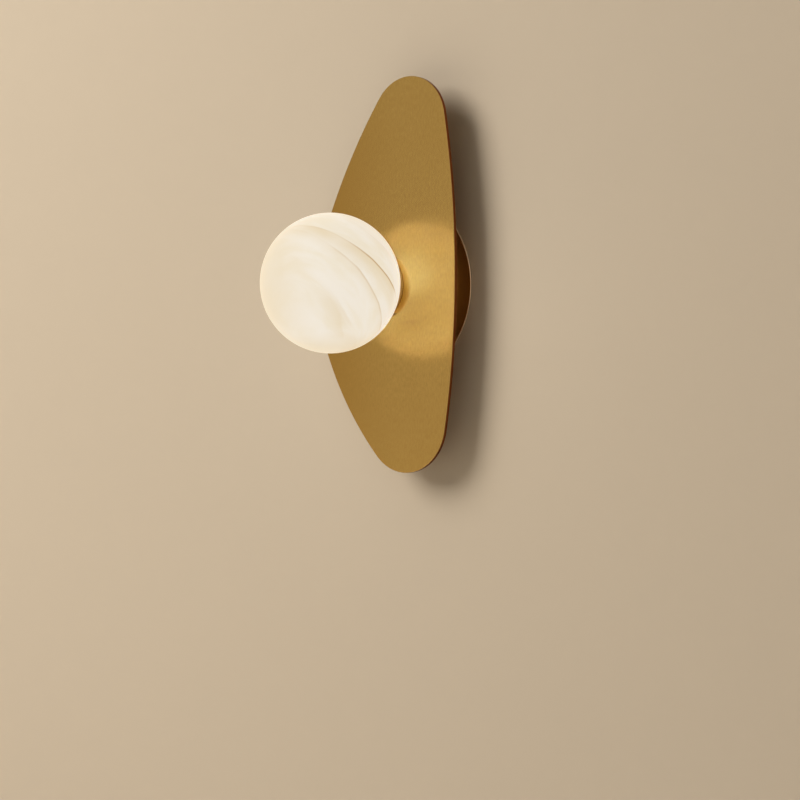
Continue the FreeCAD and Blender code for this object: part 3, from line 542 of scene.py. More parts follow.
def split(tree, vector):
    """A vector's x, y and z."""
    return node(tree, "ShaderNodeSeparateXYZ", [vector]).outputs


def vector_math(tree, operation, *vectors):
    """A Vector Math node's outputs, "Vector" and "Value"."""
    return node(tree, "ShaderNodeVectorMath", vectors, operation=operation).outputs


def along(tree, place, direction):
    """How far a place lies along a direction."""
    return vector_math(tree, "DOT_PRODUCT", place, direction)["Value"]


def noise(tree, place, scale, detail, **inputs):
    """A noise texture's value, from 0 to 1."""
    inputs |= {"Vector": place, "Scale": scale, "Detail": detail}
    return node(tree, "ShaderNodeTexNoise", inputs).outputs["Fac"]


def object_place(tree):
    """The place on the object, in metres."""
    return node(tree, "ShaderNodeTexCoord").outputs["Object"]


def add_inputs(tree, inputs):
    """Named inputs for a tree, of the kind that their values are."""
    kinds = {tuple: "NodeSocketVector", int: "NodeSocketInt", float: "NodeSocketFloat"}
    for title, value in inputs.items():
        socket = tree.interface.new_socket(title.replace("_", " "), in_out="INPUT",
                                           socket_type=kinds[type(value)])
        socket.default_value = value


def new_group(name, outputs, **inputs):
    """A shader node group; returns the tree, and the sockets that it is given and gives out."""
    tree = bpy.data.node_groups.new(name, "ShaderNodeTree")
    add_inputs(tree, inputs)
    for title in outputs:
        tree.interface.new_socket(title, in_out="OUTPUT", socket_type="NodeSocketFloat")
    return tree, tree.nodes.new("NodeGroupInput").outputs, tree.nodes.new("NodeGroupOutput").inputs


def new_tree(name, **inputs):
    """A geometry tree; returns the tree and the sockets that it is given."""
    tree = bpy.data.node_groups.new(name, "GeometryNodeTree")
    tree.interface.new_socket("Geometry", in_out="INPUT", socket_type="NodeSocketGeometry")
    add_inputs(tree, inputs)
    tree.interface.new_socket("Material", in_out="INPUT", socket_type="NodeSocketMaterial")
    tree.interface.new_socket("Geometry", in_out="OUTPUT", socket_type="NodeSocketGeometry")
    return tree, tree.nodes.new("NodeGroupInput").outputs


def close_tree(tree, given, geometry):
    """Ends the tree in real geometry that wears its material."""
    real = node(tree, "GeometryNodeRealizeInstances", [geometry])
    dress = node(tree, "GeometryNodeSetMaterial",
                 {"Geometry": real.outputs[0], "Material": given["Material"]})
    node(tree, "NodeGroupOutput", [dress.outputs[0]])
    return tree


def grown(piece, tree, finish, **values):
    """Runs a geometry tree on the piece with these inputs and keeps the result as its mesh."""
    values["Material"] = materials[finish]
    grow = piece.modifiers.new("grow", "NODES")
    grow.node_group = tree
    for item in tree.interface.items_tree:
        key = item.name.replace(" ", "_")
        if item.in_out == "INPUT" and key in values:
            grow[item.identifier] = values[key]
    return applied(piece)


# Geometry trees

def instanced(tree, points, shape, angles=None):
    """A shape on each point, turned by a vector of angles."""
    if angles is not None:
        angles = node(tree, "FunctionNodeEulerToRotation", [angles]).outputs[0]
    return node(tree, "GeometryNodeInstanceOnPoints",
                {"Points": points, "Instance": shape, "Rotation": angles}).outputs[0]


def sized_box(tree, x, y, z):
    """A box about the origin."""
    return node(tree, "GeometryNodeMeshCube", {"Size": combine(tree, x, y, z)}).outputs["Mesh"]


def point_line(tree, count, start, step):
    """Points in a line, a step apart."""
    return node(tree, "GeometryNodeMeshLine", {"Count": count, "Start Location": start, "Offset": step},
                mode="OFFSET").outputs[0]


def joined(tree, *shapes):
    """Several shapes as one."""
    made = node(tree, "GeometryNodeJoinGeometry")
    for shape in shapes:
        feed(tree, made.inputs[0], shape)
    return made.outputs[0]


def make_thread_tree():
    """Cuts a helical thread into a shank that stands on Z."""
    tree, given = new_tree("cut_thread", Pitch=0.001, Depth=0.0005, Crest=0.005, Start=0.0, End=0.01)
    pitch, crest, start, end = (given[title] for title in ("Pitch", "Crest", "Start", "End"))
    x, y, z = split(tree, node(tree, "GeometryNodeInputPosition").outputs[0])
    reach = math_node(tree, "SQRT", math_node(tree, "ADD", product(tree, x, x), product(tree, y, y)))
    turn = math_node(tree, "DIVIDE", math_node(tree, "ARCTAN2", y, x), 2 * math.pi)
    climb = math_node(tree, "DIVIDE", z, pitch)
    phase = math_node(tree, "FRACT", math_node(tree, "SUBTRACT", climb, turn))
    wave = math_node(tree, "ABSOLUTE", math_node(tree, "SUBTRACT", product(tree, phase, 2.0), 1.0))
    run_in = map_range(tree, z, start, math_node(tree, "ADD", start, pitch))
    run_out = map_range(tree, z, math_node(tree, "SUBTRACT", end, pitch), end, 1.0, 0.0)
    on_crest = math_node(tree, "GREATER_THAN", reach, product(tree, crest, ON_SHANK[0]))
    under_head = math_node(tree, "LESS_THAN", reach, product(tree, crest, ON_SHANK[1]))
    cut = product(tree, wave, given["Depth"], run_in, run_out, on_crest, under_head)
    share = math_node(tree, "DIVIDE", product(tree, cut, -1.0), reach)
    inward = node(tree, "ShaderNodeVectorMath", {0: combine(tree, x, y), "Scale": share},
                  operation="SCALE")
    move = node(tree, "GeometryNodeSetPosition",
                {"Geometry": given["Geometry"], "Offset": inward.outputs[0]})
    return close_tree(tree, given, move.outputs[0])


def make_tooth_tree():
    """Sets twisted teeth round the rim of a washer that lies across Z."""
    tree, given = new_tree("washer_teeth", Count=12, Radius=0.008, Height=0.0, Length=0.002, Width=0.002,
                           Sheet=0.001, Twist=0.2)
    ring = node(tree, "GeometryNodeMeshCircle", {"Vertices": given["Count"], "Radius": given["Radius"]})
    place = split(tree, node(tree, "GeometryNodeInputPosition").outputs[0])
    angles = combine(tree, given["Twist"], None, math_node(tree, "ARCTAN2", place[1], place[0]))
    tooth = sized_box(tree, given["Length"], given["Width"], given["Sheet"])
    teeth = instanced(tree, ring.outputs[0], tooth, angles)
    lift = node(tree, "GeometryNodeTransform",
                {"Geometry": teeth, "Translation": combine(tree, z=given["Height"])})
    return close_tree(tree, given, joined(tree, given["Geometry"], lift.outputs[0]))


def make_chip_tree():
    """Rows of light chips down the four sides of a post that stands on Z."""
    tree, given = new_tree("light_chips", Rows=4, Pitch=0.005, First=0.0, Reach=0.0025, Side=0.0024,
                           Thickness=0.0006)
    row = point_line(tree, given["Rows"], combine(tree, given["Reach"], None, given["First"]),
                     combine(tree, z=given["Pitch"]))
    chip = sized_box(tree, given["Thickness"], given["Side"], given["Side"])
    corners = node(tree, "GeometryNodePoints", {"Count": 4})
    index = node(tree, "GeometryNodeInputIndex").outputs[0]
    angles = combine(tree, z=product(tree, index, math.pi / 2))
    sides = instanced(tree, corners.outputs[0], instanced(tree, row, chip), angles)
    return close_tree(tree, given, joined(tree, given["Geometry"], sides))


def make_rows_tree():
    """Repeats a piece in columns along X and rows along Y, about the middle."""
    tree, given = new_tree("rows_and_columns", Columns=2, Rows=2, Column_Pitch=0.011, Row_Pitch=0.007)
    shape = given["Geometry"]
    for axis, title in (("x", "Column"), ("y", "Row")):
        count, pitch = given[title + "s"], given[title + " Pitch"]
        first = product(tree, math_node(tree, "SUBTRACT", count, 1.0), pitch, -0.5)
        line = point_line(tree, count, combine(tree, **{axis: first}), combine(tree, **{axis: pitch}))
        shape = instanced(tree, line, shape)
    return close_tree(tree, given, shape)


# Glass: its colours and veins, which get clearer along VEIN_RUN; their washes start WASH_LEAD earlier

CREAM = srgb(246, 237, 222)
WARM_CREAM = srgb(242, 230, 207)
DEEP_CREAM = srgb(234, 217, 186)
WASH = srgb(233, 214, 180)
VEIN = srgb(198, 162, 112)
VEIN_RUN = (0.766, 0.643, 0.0)
WASH_LEAD = 0.8
# Between creams: the cloudy streaks, and where in their noise the warmer cream starts and is full
STREAK_TILT = -48
STREAK_SCALE = (1.1, 1.1, 0.32)
STREAK_RANGE = (0.38, 0.66)
# How bright the glass glows, and how much of its own colour gives way to that
GLOW_LEVEL = 0.905
LIT_SHARE = 0.93
# Sides that lean warmer: direction, and how far along it the tint is full and gone
WARM_SIDES = [(VEIN_RUN, -1.0, -0.1), ((0.0, 0.0, 1.0), -1.0, -0.68)]
WARM_SHARE = 0.8
# Along a vein, its strength comes and goes with a noise in this range; its faintest and its start
FADE_RANGE = (0.36, 0.6)
FAINTEST = 0.15
LEAST_CLEAR = 0.12
# Each vein: layer direction, level, wander, width, wash width, line strength, wash strength, and where
# along VEIN_RUN its line starts to show and is at its clearest
VEINS = [
    ((0.048, 0.687, 0.756), 0.150, 0.10, 0.020, 0.30, 1.00, 0.85, 0.0, 0.75),
    ((0.168, 0.762, 0.626), -0.098, 0.14, 0.022, 0.16, 0.36, 0.45, -0.2, 0.45),
    ((0.242, 0.709, 0.663), -0.475, 0.30, 0.034, 0.22, 0.07, 0.40, 0.0, 0.8),
    ((-0.122, 0.760, 0.638), -0.836, 0.34, 0.026, 0.18, 0.06, 0.35, 0.1, 0.9),
    ((0.100, 0.740, 0.660), 0.520, 0.18, 0.024, 0.20, 0.12, 0.25, -2.0, -1.5),
    ((-0.050, 0.700, 0.710), 0.790, 0.12, 0.020, 0.14, 0.12, 0.25, -2.0, -1.5),
]


# Shader groups

def make_grain_group():
    """Fine directional grain of a brushed or spun metal, and the slow drift of its tone."""
    tree, given, out = new_group("satin_grain", ["Height", "Roughness", "Drift"], Stretch=(1, 1, 1),
                                 Scale=900.0, Drift_Scale=14.0, Roughness=0.3, Roughness_Spread=0.08)
    place = object_place(tree)
    stretched = vector_math(tree, "MULTIPLY", place, given["Stretch"])["Vector"]
    fine = noise(tree, stretched, given["Scale"], 3.0)
    drift = noise(tree, place, given["Drift Scale"], 4.0)
    quick, slow = (product(tree, math_node(tree, "SUBTRACT", value, 0.5), given["Roughness Spread"])
                   for value in (fine, drift))
    total = math_node(tree, "ADD", given["Roughness"], math_node(tree, "ADD", quick, slow))
    feed(tree, out["Height"], fine)
    feed(tree, out["Roughness"], total)
    feed(tree, out["Drift"], drift)
    return tree


def make_wear_group():
    """Where a handled edge has rubbed: 1 on sharp outer edges, broken up by noise."""
    tree, given, out = new_group("edge_wear", ["Mask"], Radius=0.0006, Amount=0.6, Break_Scale=160.0,
                                 Strength=9.0)
    rounded = node(tree, "ShaderNodeBevel", {"Radius": given["Radius"]}, samples=4)
    surface = node(tree, "ShaderNodeNewGeometry")
    flat = along(tree, rounded.outputs["Normal"], surface.outputs["Normal"])
    broken = product(tree, noise(tree, object_place(tree), given["Break Scale"], 3.0), given["Strength"])
    worn_and_sheen = product(tree, math_node(tree, "SUBTRACT", 1.0, flat), broken, given["Amount"])
    feed(tree, out["Mask"], node(tree, "ShaderNodeClamp", {"Value": worn_and_sheen}).outputs[0])
    return tree


def make_side_shade_group():
    """Mask for the painted side shade: 1 where the surface faces across the lamp axis, 0 where it faces
    along it.
    """
    tree, given, out = new_group("faces_sideways", ["Mask"], Start=0.2, Full=0.8)
    normal = split(tree, node(tree, "ShaderNodeTexCoord").outputs["Normal"])
    across = math_node(tree, "SUBTRACT", 1.0, math_node(tree, "ABSOLUTE", normal[1]))
    feed(tree, out["Mask"], map_range(tree, across, given["Start"], given["Full"]))
    return tree


def make_vein_group():
    """A thin vein where a wandering layer meets the surface, with a soft wash on its lower side."""
    tree, given, out = new_group("stone_vein", ["Line", "Wash"], Place=(0, 0, 0), Layer=(0, 0, 1),
                                 Level=0.0, Wander=0.1, Width=0.02, Wash_Width=0.2, Seed=(0, 0, 0),
                                 Clear_From=-2.0, Clear_To=-1.5)
    shifted = vector_math(tree, "ADD", given["Place"], given["Seed"])["Vector"]
    sway = math_node(tree, "SUBTRACT", noise(tree, shifted, 1.1, 5.0, Roughness=0.42), 0.5)
    strength = noise(tree, shifted, 1.7, 1.0)
    height = math_node(tree, "SUBTRACT", along(tree, given["Place"], given["Layer"]), given["Level"])
    over = math_node(tree, "ADD", height, product(tree, sway, given["Wander"]))
    line = eased(tree, math_node(tree, "ABSOLUTE", over), 0.0, given["Width"], 1.0, 0.0)
    below = eased(tree, over, product(tree, given["Wash Width"], -1.0), 0.0)
    cut = eased(tree, over, 0.0, given["Width"], 1.0, 0.0)
    fade = eased(tree, strength, *FADE_RANGE, FAINTEST, 1.0)
    run = along(tree, given["Place"], VEIN_RUN)
    clear = eased(tree, run, given["Clear From"], given["Clear To"], LEAST_CLEAR, 1.0)
    start, full = (math_node(tree, "SUBTRACT", given[title], WASH_LEAD)
                   for title in ("Clear From", "Clear To"))
    feed(tree, out["Line"], product(tree, line, fade, clear))
    feed(tree, out["Wash"], product(tree, below, cut, fade, eased(tree, run, start, full)))
    return tree


thread_tree = make_thread_tree()
tooth_tree = make_tooth_tree()
chip_tree = make_chip_tree()
rows_tree = make_rows_tree()
grain_group = make_grain_group()
wear_group = make_wear_group()
side_shade_group = make_side_shade_group()
vein_group = make_vein_group()


# Materials

# Metals: base, deep and worn colours, roughness and its spread; the worn colour also paints highlights
METALS = {
    "satin_brass": ((184, 149, 83), (169, 132, 67), (214, 186, 128), 0.22, 0.05),
    "canopy_brass": ((181, 146, 80), (172, 136, 70), (212, 180, 144), 0.24, 0.05),
    # The cup's brass is painted far lighter than the plate's: a painted reflection of the globe's glow
    "cup_brass": ((244, 219, 164), (238, 210, 152), (248, 230, 186), 0.45, 0.05),
    "brass_screw": ((170, 134, 70), (140, 104, 48), (214, 184, 122), 0.24, 0.08),
    "contact_brass": ((196, 164, 92), (172, 136, 70), (222, 196, 132), 0.28, 0.1),
    "bracket_steel": ((168, 170, 172), (140, 143, 147), (205, 206, 208), 0.38, 0.12),
    "zinc_steel": ((196, 198, 202), (164, 168, 176), (222, 223, 226), 0.3, 0.12),
}
# What some metals have besides: how the grain is drawn out, more edge wear, which on the plate also
# paints a highlight along its front edge, a darker tone painted as shade on what faces across the lamp
# axis, how far out from the wall a rim gets a painted highlight in the worn colour, and a tone painted
# as shade towards one side, with the places across the piece where it is full and gone
METAL_TOUCHES = {
    "satin_brass": dict(stretch=(1, 1, 0.3), wear=1.6, side=(118, 62, 26),
                        lean=((166, 126, 60), -62.0, 24.0)),
    "canopy_brass": dict(side=(152, 104, 46), rim=CANOPY_LIP_DEPTH),
    "bracket_steel": dict(stretch=(1, 1, 0.05)),
}
METAL_GRAIN = dict(Scale=900.0, Drift_Scale=14.0)
METAL_BUMP = dict(Strength=0.02, Distance=0.00004)
METAL_SPECKLE = (0.35, 0.65)
WEAR_RADIUS = 0.0005
RIM_FADE = 0.2

# Other materials: base and deep colours, and roughness
PLASTICS = {
    "frosted_glass": ((250, 248, 243), (244, 240, 232), 0.5),
    "white_ceramic": ((238, 236, 230), (226, 223, 214), 0.3),
    "light_post": ((236, 232, 224), (224, 218, 206), 0.4),
    "clear_silicone": ((220, 218, 212), (208, 206, 198), 0.35),
    "black_rubber": ((36, 35, 34), (27, 26, 26), 0.6),
    "white_plastic": ((232, 231, 226), (221, 219, 212), 0.4),
    "brown_lead": ((112, 66, 38), (98, 56, 31), 0.42),
    "blue_lead": ((48, 98, 168), (40, 84, 150), 0.42),
    "green_lead": ((64, 138, 62), (52, 120, 50), 0.42),
}
PLASTIC_GRAIN = dict(Drift_Scale=40.0, Roughness_Spread=0.1)
PLASTIC_BUMP = dict(Strength=0.05, Distance=0.0001)
# How far round from its middle a stripe is full and gone, as a share of the whole way round, and how
# far from the post's middle the colour of its chips starts and is full
STRIPE_EDGE = (0.15, 0.17)
CHIP_EDGE = (POST_HALF + 0.15, POST_HALF + 0.25)


def new_material(name, **settings):
    """A Principled material; the settings are the shader's own plain values."""
    material = bpy.data.materials.new(name)
    material.use_nodes = True
    shader = material.node_tree.nodes["Principled BSDF"]
    for key, value in settings.items():
        shader.inputs[key.replace("_", " ")].default_value = value
    return material, material.node_tree, shader


def use_group(tree, group, **values):
    """Places a shader group with these inputs; returns its outputs."""
    inputs = {key.replace("_", " "): value for key, value in values.items()}
    return node(tree, "ShaderNodeGroup", inputs, node_tree=group).outputs


def blend_colour(tree, share, first, second):
    """From the first colour to the second."""
    return node(tree, "ShaderNodeMix", {0: share, 6: first, 7: second}, data_type="RGBA").outputs[2]


def finish_surface(tree, shader, colour, grain, bump):
    """The colour, the grain's roughness, and a bump from its height."""
    lift = node(tree, "ShaderNodeBump", {"Height": grain["Height"], **bump})
    feed(tree, shader.inputs["Base Color"], colour)
    feed(tree, shader.inputs["Roughness"], grain["Roughness"])
    feed(tree, shader.inputs["Normal"], lift.outputs["Normal"])


def metal(name, base, deep, worn_and_sheen, roughness, spread, stretch=(1, 1, 1), wear=0.6, side=None, rim=None,
          lean=None):
    """A satin metal with fine grain: its colour drifts deeper, its edges are rubbed brighter, some also
    with a painted highlight, and some get painted shade.
    """
    material, tree, shader = new_material(name, Metallic=1.0)
    grain = use_group(tree, grain_group, Stretch=stretch, Roughness=roughness, Roughness_Spread=spread,
                      **METAL_GRAIN)
    speckle = map_range(tree, grain["Height"], *METAL_SPECKLE)
    tone = product(tree, math_node(tree, "ADD", grain["Drift"], speckle), 0.5)
    colour = blend_colour(tree, tone, srgb(*deep), srgb(*base))
    # Edge wear; where its amount is raised it also paints a highlight along the edges
    wear_and_highlight = use_group(tree, wear_group, Radius=WEAR_RADIUS, Amount=wear)["Mask"]
    # Painted shade: a darker tone fades in across the piece towards -X
    if lean is not None:
        shade_tone, full, gone = lean
        across = split(tree, object_place(tree))[0]
        share = eased(tree, across, full * MM, gone * MM, 1.0, 0.0)
        colour = blend_colour(tree, share, colour, srgb(*shade_tone))
    # Painted shade: what faces across the lamp axis is painted a darker, redder tone
    if side is not None:
        colour = blend_colour(tree, use_group(tree, side_shade_group)["Mask"], colour, srgb(*side))
    # Painted highlight: the rim nearest the wall is painted in the worn colour
    if rim is not None:
        off_wall = split(tree, object_place(tree))[1]
        rim_highlight = map_range(tree, off_wall, -(rim + RIM_FADE) * MM, -rim * MM)
        wear_and_highlight = math_node(tree, "MAXIMUM", wear_and_highlight, rim_highlight)
    finish_surface(tree, shader, blend_colour(tree, wear_and_highlight, colour, srgb(*worn_and_sheen)), grain, METAL_BUMP)
    return material


def plastic(name, base, deep, roughness, scale=300.0, second=None, **settings):
    """Ceramic, rubber or moulded plastic: a soft mottle and a fine skin texture.

    A second colour comes with the function that makes its mask.
    """
    material, tree, shader = new_material(name, **settings)
    grain = use_group(tree, grain_group, Scale=scale, Roughness=roughness, **PLASTIC_GRAIN)
    colour = blend_colour(tree, grain["Drift"], srgb(*deep), srgb(*base))
    if second is not None:
        other, make_mask = second
        colour = blend_colour(tree, make_mask(tree), colour, srgb(*other))
    finish_surface(tree, shader, colour, grain, PLASTIC_BUMP)
    return material


def stripe_mask(tree):
    """A stripe that runs along a lead, a third of the way round it."""
    turn = split(tree, node(tree, "ShaderNodeUVMap", uv_map="around").outputs[0])[0]
    off = math_node(tree, "ABSOLUTE", math_node(tree, "SUBTRACT", turn, 0.5))
    return map_range(tree, off, *STRIPE_EDGE, 1.0, 0.0)


def chip_mask(tree):
    """The faces of the light chips, which stand proud of the post's four sides."""
    place = split(tree, object_place(tree))
    reach = math_node(tree, "MAXIMUM", math_node(tree, "ABSOLUTE", place[0]),
                      math_node(tree, "ABSOLUTE", place[2]))
    return map_range(tree, reach, CHIP_EDGE[0] * MM, CHIP_EDGE[1] * MM)


def opal_glass(name):
    """Opal glass lit from within, with the thin tilted veins of a stone."""
    material, tree, shader = new_material(name, Roughness=0.34, IOR=1.45, Emission_Strength=GLOW_LEVEL)
    centred = node(tree, "ShaderNodeMapping",
                   {"Vector": object_place(tree), "Location": (0, GLOBE_OUT / GLOBE_RADIUS, 0),
                    "Scale": [1 / (GLOBE_RADIUS * MM)] * 3}).outputs[0]
    streaks = node(tree, "ShaderNodeMapping",
                   {"Vector": centred, "Rotation": (math.radians(STREAK_TILT), 0, 0),
                    "Scale": STREAK_SCALE}, vector_type="TEXTURE").outputs[0]
    cloud = noise(tree, streaks, 1.2, 5.0, Distortion=0.7)
    colour = blend_colour(tree, eased(tree, cloud, *STREAK_RANGE), CREAM, WARM_CREAM)
    for direction, full, gone in WARM_SIDES:
        share = eased(tree, along(tree, centred, direction), full, gone, WARM_SHARE, 0.0)
        colour = blend_colour(tree, share, colour, DEEP_CREAM)
    for k, (layer, level, wander, width, wash_width, line, wash, start, full) in enumerate(VEINS):
        vein = use_group(tree, vein_group, Place=centred, Layer=layer, Level=level, Wander=wander,
                         Width=width, Wash_Width=wash_width, Seed=(3.1 * k, 1.7 * k, 0.9 * k),
                         Clear_From=start, Clear_To=full)
        colour = blend_colour(tree, product(tree, vein["Wash"], wash), colour, WASH)
        colour = blend_colour(tree, product(tree, vein["Line"], line), colour, VEIN)
    feed(tree, shader.inputs["Emission Color"], colour)
    feed(tree, shader.inputs["Base Color"], blend_colour(tree, LIT_SHARE, colour, (0, 0, 0, 1)))
    return material


PLASTIC_TOUCHES = {
    "frosted_glass": dict(Transmission_Weight=0.75, IOR=1.45),
    "light_post": dict(second=((238, 196, 92), chip_mask)),
    "clear_silicone": dict(Transmission_Weight=0.35, IOR=1.41),
    "black_rubber": dict(scale=700.0),
    "green_lead": dict(second=((226, 200, 60), stripe_mask)),
}
materials = {"opal_glass": opal_glass("opal_glass")}
for make, looks, touches in ((metal, METALS, METAL_TOUCHES), (plastic, PLASTICS, PLASTIC_TOUCHES)):
    for name, values in looks.items():
        materials[name] = make(name, *values, **touches.get(name, {}))


# Who wears what, and what rides where, follow the record

body_of = {n: body for body, members in frame["record"]["behaviour"]["bodies"].items() for n in members}
FINISHES = {
    "satin_brass": ["canopy", "front_plate", "cup"],
    "brass_screw": ["canopy_screw_top", "canopy_screw_bottom", *CUP_SCREWS],
    "contact_brass": ["terminal_inserts", "earth_tag", "canopy_earth_tag", "lampholder_contacts"],
    "bracket_steel": ["wall_bracket", "holder_bracket"],
    "zinc_steel": ["canopy_nut", "holder_nut", "nipple", "canopy_washer", "earth_washer", "locating_pin",
                   "earth_screw", "terminal_block_screw", "terminal_clamp_screws", "holder_screws",
                   "bulb_pins"],
    "opal_glass": ["globe"],
    "frosted_glass": ["bulb_capsule"],
    "white_ceramic": ["lampholder", "bulb_base"],
    "light_post": ["bulb_core"],
    "clear_silicone": ["neck_seal"],
    "black_rubber": ["cable_bush"],
    "white_plastic": ["terminal_block"],
    "brown_lead": ["live_lead"],
    "blue_lead": ["neutral_lead"],
    "green_lead": ["earth_lead"],
}
slot_of = {n: slot for slot, nodes in FINISHES.items() for n in nodes}


def stand_in(piece, *nodes, look=None):
    """The piece takes over these CAD nodes, with the body and the finish of the first.

    look is its material where that isn't the finish's own.
    """
    slot = slot_of[nodes[0]]
    piece.data.materials.clear()
    piece.data.materials.append(materials[look or slot])
    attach(piece, body_of[nodes[0]])
    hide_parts(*nodes)
    return piece


def stood(piece, cad_node, z=0):
    """Turns a piece made on Z to point into the room, at this height on the wall, in place of its node."""
    return stand_in(placed(piece, Matrix.Translation(at(0, 0, z)) @ OUT_OF_WALL), cad_node)


def from_cad(name, cad_node, edge, steps=2):
    """The CAD shape with its edges rounded, in a few steps."""
    return stand_in(dressed(cad_node, name, edge, steps), cad_node)


# Globe

def globe_section():
    """A thick-walled ball that opens into a short neck behind."""
    inner = GLOBE_RADIUS - GLOBE_WALL
    centre = (0, GLOBE_OUT)
    fillet_x = NECK_RADIUS + NECK_FILLET
    fillet_fall = math.sqrt((GLOBE_RADIUS + NECK_FILLET) ** 2 - fillet_x ** 2)
    fillet = (fillet_x, GLOBE_OUT - fillet_fall)
    meet = math.degrees(math.atan2(fillet_fall, -fillet_x))
    inner_root = math.degrees(math.atan2(-math.sqrt(inner ** 2 - NECK_BORE ** 2), NECK_BORE))
    end = NECK_END + NECK_END_ROUND
    return (arc((NECK_BORE + NECK_END_ROUND, end), NECK_END_ROUND, 180, 270, steps=6)
            + arc((NECK_RADIUS - NECK_END_ROUND, end), NECK_END_ROUND, 270, 360, steps=6)
            + arc(fillet, NECK_FILLET, 180, meet, steps=6)
            + arc(centre, GLOBE_RADIUS, meet - 180, 90, steps=90)[1:-1] + [(0, GLOBE_OUT + GLOBE_RADIUS)]
            + [(0, GLOBE_OUT + inner)] + arc(centre, inner, 90, inner_root, steps=60)[1:])


globe = stand_in(turned("glass_globe", globe_section(), sharp=GLOBE_SHARP), "globe")


# Front plate

def pin_drill():
    """The cutter for the locating pin's hole."""
    return drill_rod(PIN_RADIUS, at(0, PIN_BACK, PIN_Z), at(0, CUP_FLOOR + DRILL_PAST, PIN_Z))


def walk(centre, radius, start, end, inset):
    """Evenly spaced points on an arc from one direction to another; the last is left to the next arc."""
    sweep = start.angle_signed(end)
    count = max(3, round(abs(sweep) * radius / PLATE_STEP))
    begin = math.atan2(start.y, start.x)
    turns = [begin - sweep * j / count for j in range(count)]
    return [(centre.x + (radius - inset) * math.cos(t), centre.y + (radius - inset) * math.sin(t))
            for t in turns]


def plate_line(inset):
    """The plate's outline, drawn in by inset: (x, z) points walked round its corner and flank arcs."""
    centres = []
    for k, flank in enumerate(PLATE_FLANKS):
        x1, z1, r1 = PLATE_CORNERS[k]
        x2, z2, r2 = PLATE_CORNERS[(k + 1) % 3]
        first, run = Vector((x1, z1)), Vector((x2 - x1, z2 - z1))
        ahead = ((flank - r1) ** 2 - (flank - r2) ** 2 + run.length ** 2) / (2 * run.length)
        aside = math.sqrt((flank - r1) ** 2 - ahead ** 2)
        unit = run.normalized()
        centres.append(first + unit * ahead + Vector((unit.y, -unit.x)) * aside)
    points = []
    for k, (x, z, radius) in enumerate(PLATE_CORNERS):
        corner, following = Vector((x, z)), Vector(PLATE_CORNERS[(k + 1) % 3][:2])
        points += walk(corner, radius, corner - centres[k - 1], corner - centres[k], inset)
        points += walk(centres[k], PLATE_FLANKS[k], corner - centres[k], following - centres[k], inset)
    return points


def brass_plate():
    """The flat plate with a rounded front edge, a broken back edge and the nipple's hole."""
    bm = bmesh.new()
    rim = ([(PLATE_RIM_BAND, PLATE_BACK), (PLATE_BACK_BREAK, PLATE_BACK),
            (0, PLATE_BACK + PLATE_BACK_BREAK)]
           + [(PLATE_EDGE_ROUND * (1 - math.cos(t)), PLATE_FRONT - PLATE_EDGE_ROUND * (1 - math.sin(t)))
              for t in quarter(4)]
           + [(PLATE_RIM_BAND, PLATE_FRONT)])
    rings = [[bm.verts.new(at(x, out, z)) for x, z in plate_line(inset)] for inset, out in rim]
    for ring, following in zip(rings, rings[1:]):
        bridge(bm, ring, following)
    bores = [[bm.verts.new(at(NIPPLE_HOLE * math.cos(t), out, NIPPLE_HOLE * math.sin(t)))
              for t in around(SMALL_STEPS)] for out in (PLATE_BACK, PLATE_FRONT)]
    bridge(bm, *bores)
    for loops in ((rings[0], bores[0]), (rings[-1], bores[1])):
        edges = [bm.edges.get((loop[k], loop[(k + 1) % len(loop)])) for loop in loops
                 for k in range(len(loop))]
        bmesh.ops.triangle_fill(bm, use_beauty=True, use_dissolve=False, edges=edges,
                                normal=Vector((0, -1, 0)))
    return finish_mesh("brass_plate", bm, PLATE_SHARP)


stand_in(drilled(brass_plate(), pin_drill()), "front_plate")


# Canopy

def canopy_section():
    """A spun drum: flat front, rounded shoulder, and a small bead at the wall."""
    inner = CANOPY_RADIUS - CANOPY_SHEET
    shoulder = (CANOPY_RADIUS - CANOPY_ROUND, PLATE_BACK - CANOPY_ROUND)
    half = CANOPY_LIP_DEPTH / 2
    bead = [(CANOPY_RADIUS + CANOPY_LIP * math.cos(t), half + half * math.sin(t))
            for t in (math.radians(angle) for angle in range(-80, 81, 16))]
    return ([(NIPPLE_HOLE, PLATE_BACK), (NIPPLE_HOLE, CANOPY_INSIDE)]
            + [(radius, CANOPY_INSIDE) for radius in CANOPY_FLAT_RINGS]
            + arc(shoulder, CANOPY_ROUND - CANOPY_SHEET, 90, 0, steps=8)
            + [(inner, out) for out in reversed(CANOPY_SIDE_RINGS)]
            + [(inner, CANOPY_RIM_BREAK), (inner + CANOPY_RIM_BREAK, 0), (CANOPY_RADIUS, 0)] + bead
            + [(CANOPY_RADIUS, out) for out in [CANOPY_ABOVE_LIP, *CANOPY_SIDE_RINGS]]
            + arc(shoulder, CANOPY_ROUND, 0, 90, steps=10)
            + [(radius, PLATE_BACK) for radius in reversed(CANOPY_FLAT_RINGS)])


def spun_canopy():
    """The canopy with the holes for its pin and its two side screws."""
    ends = [[at(0, CANOPY_SCREW_OUT, side * reach) for reach in CANOPY_DRILL] for side in (-1, 1)]
    return drilled(turned("spun_canopy", canopy_section()), pin_drill(),
                   *(drill_rod(CANOPY_SCREW_RADIUS, *pair) for pair in ends))


stand_in(spun_canopy(), "canopy", look="canopy_brass")


# Cup

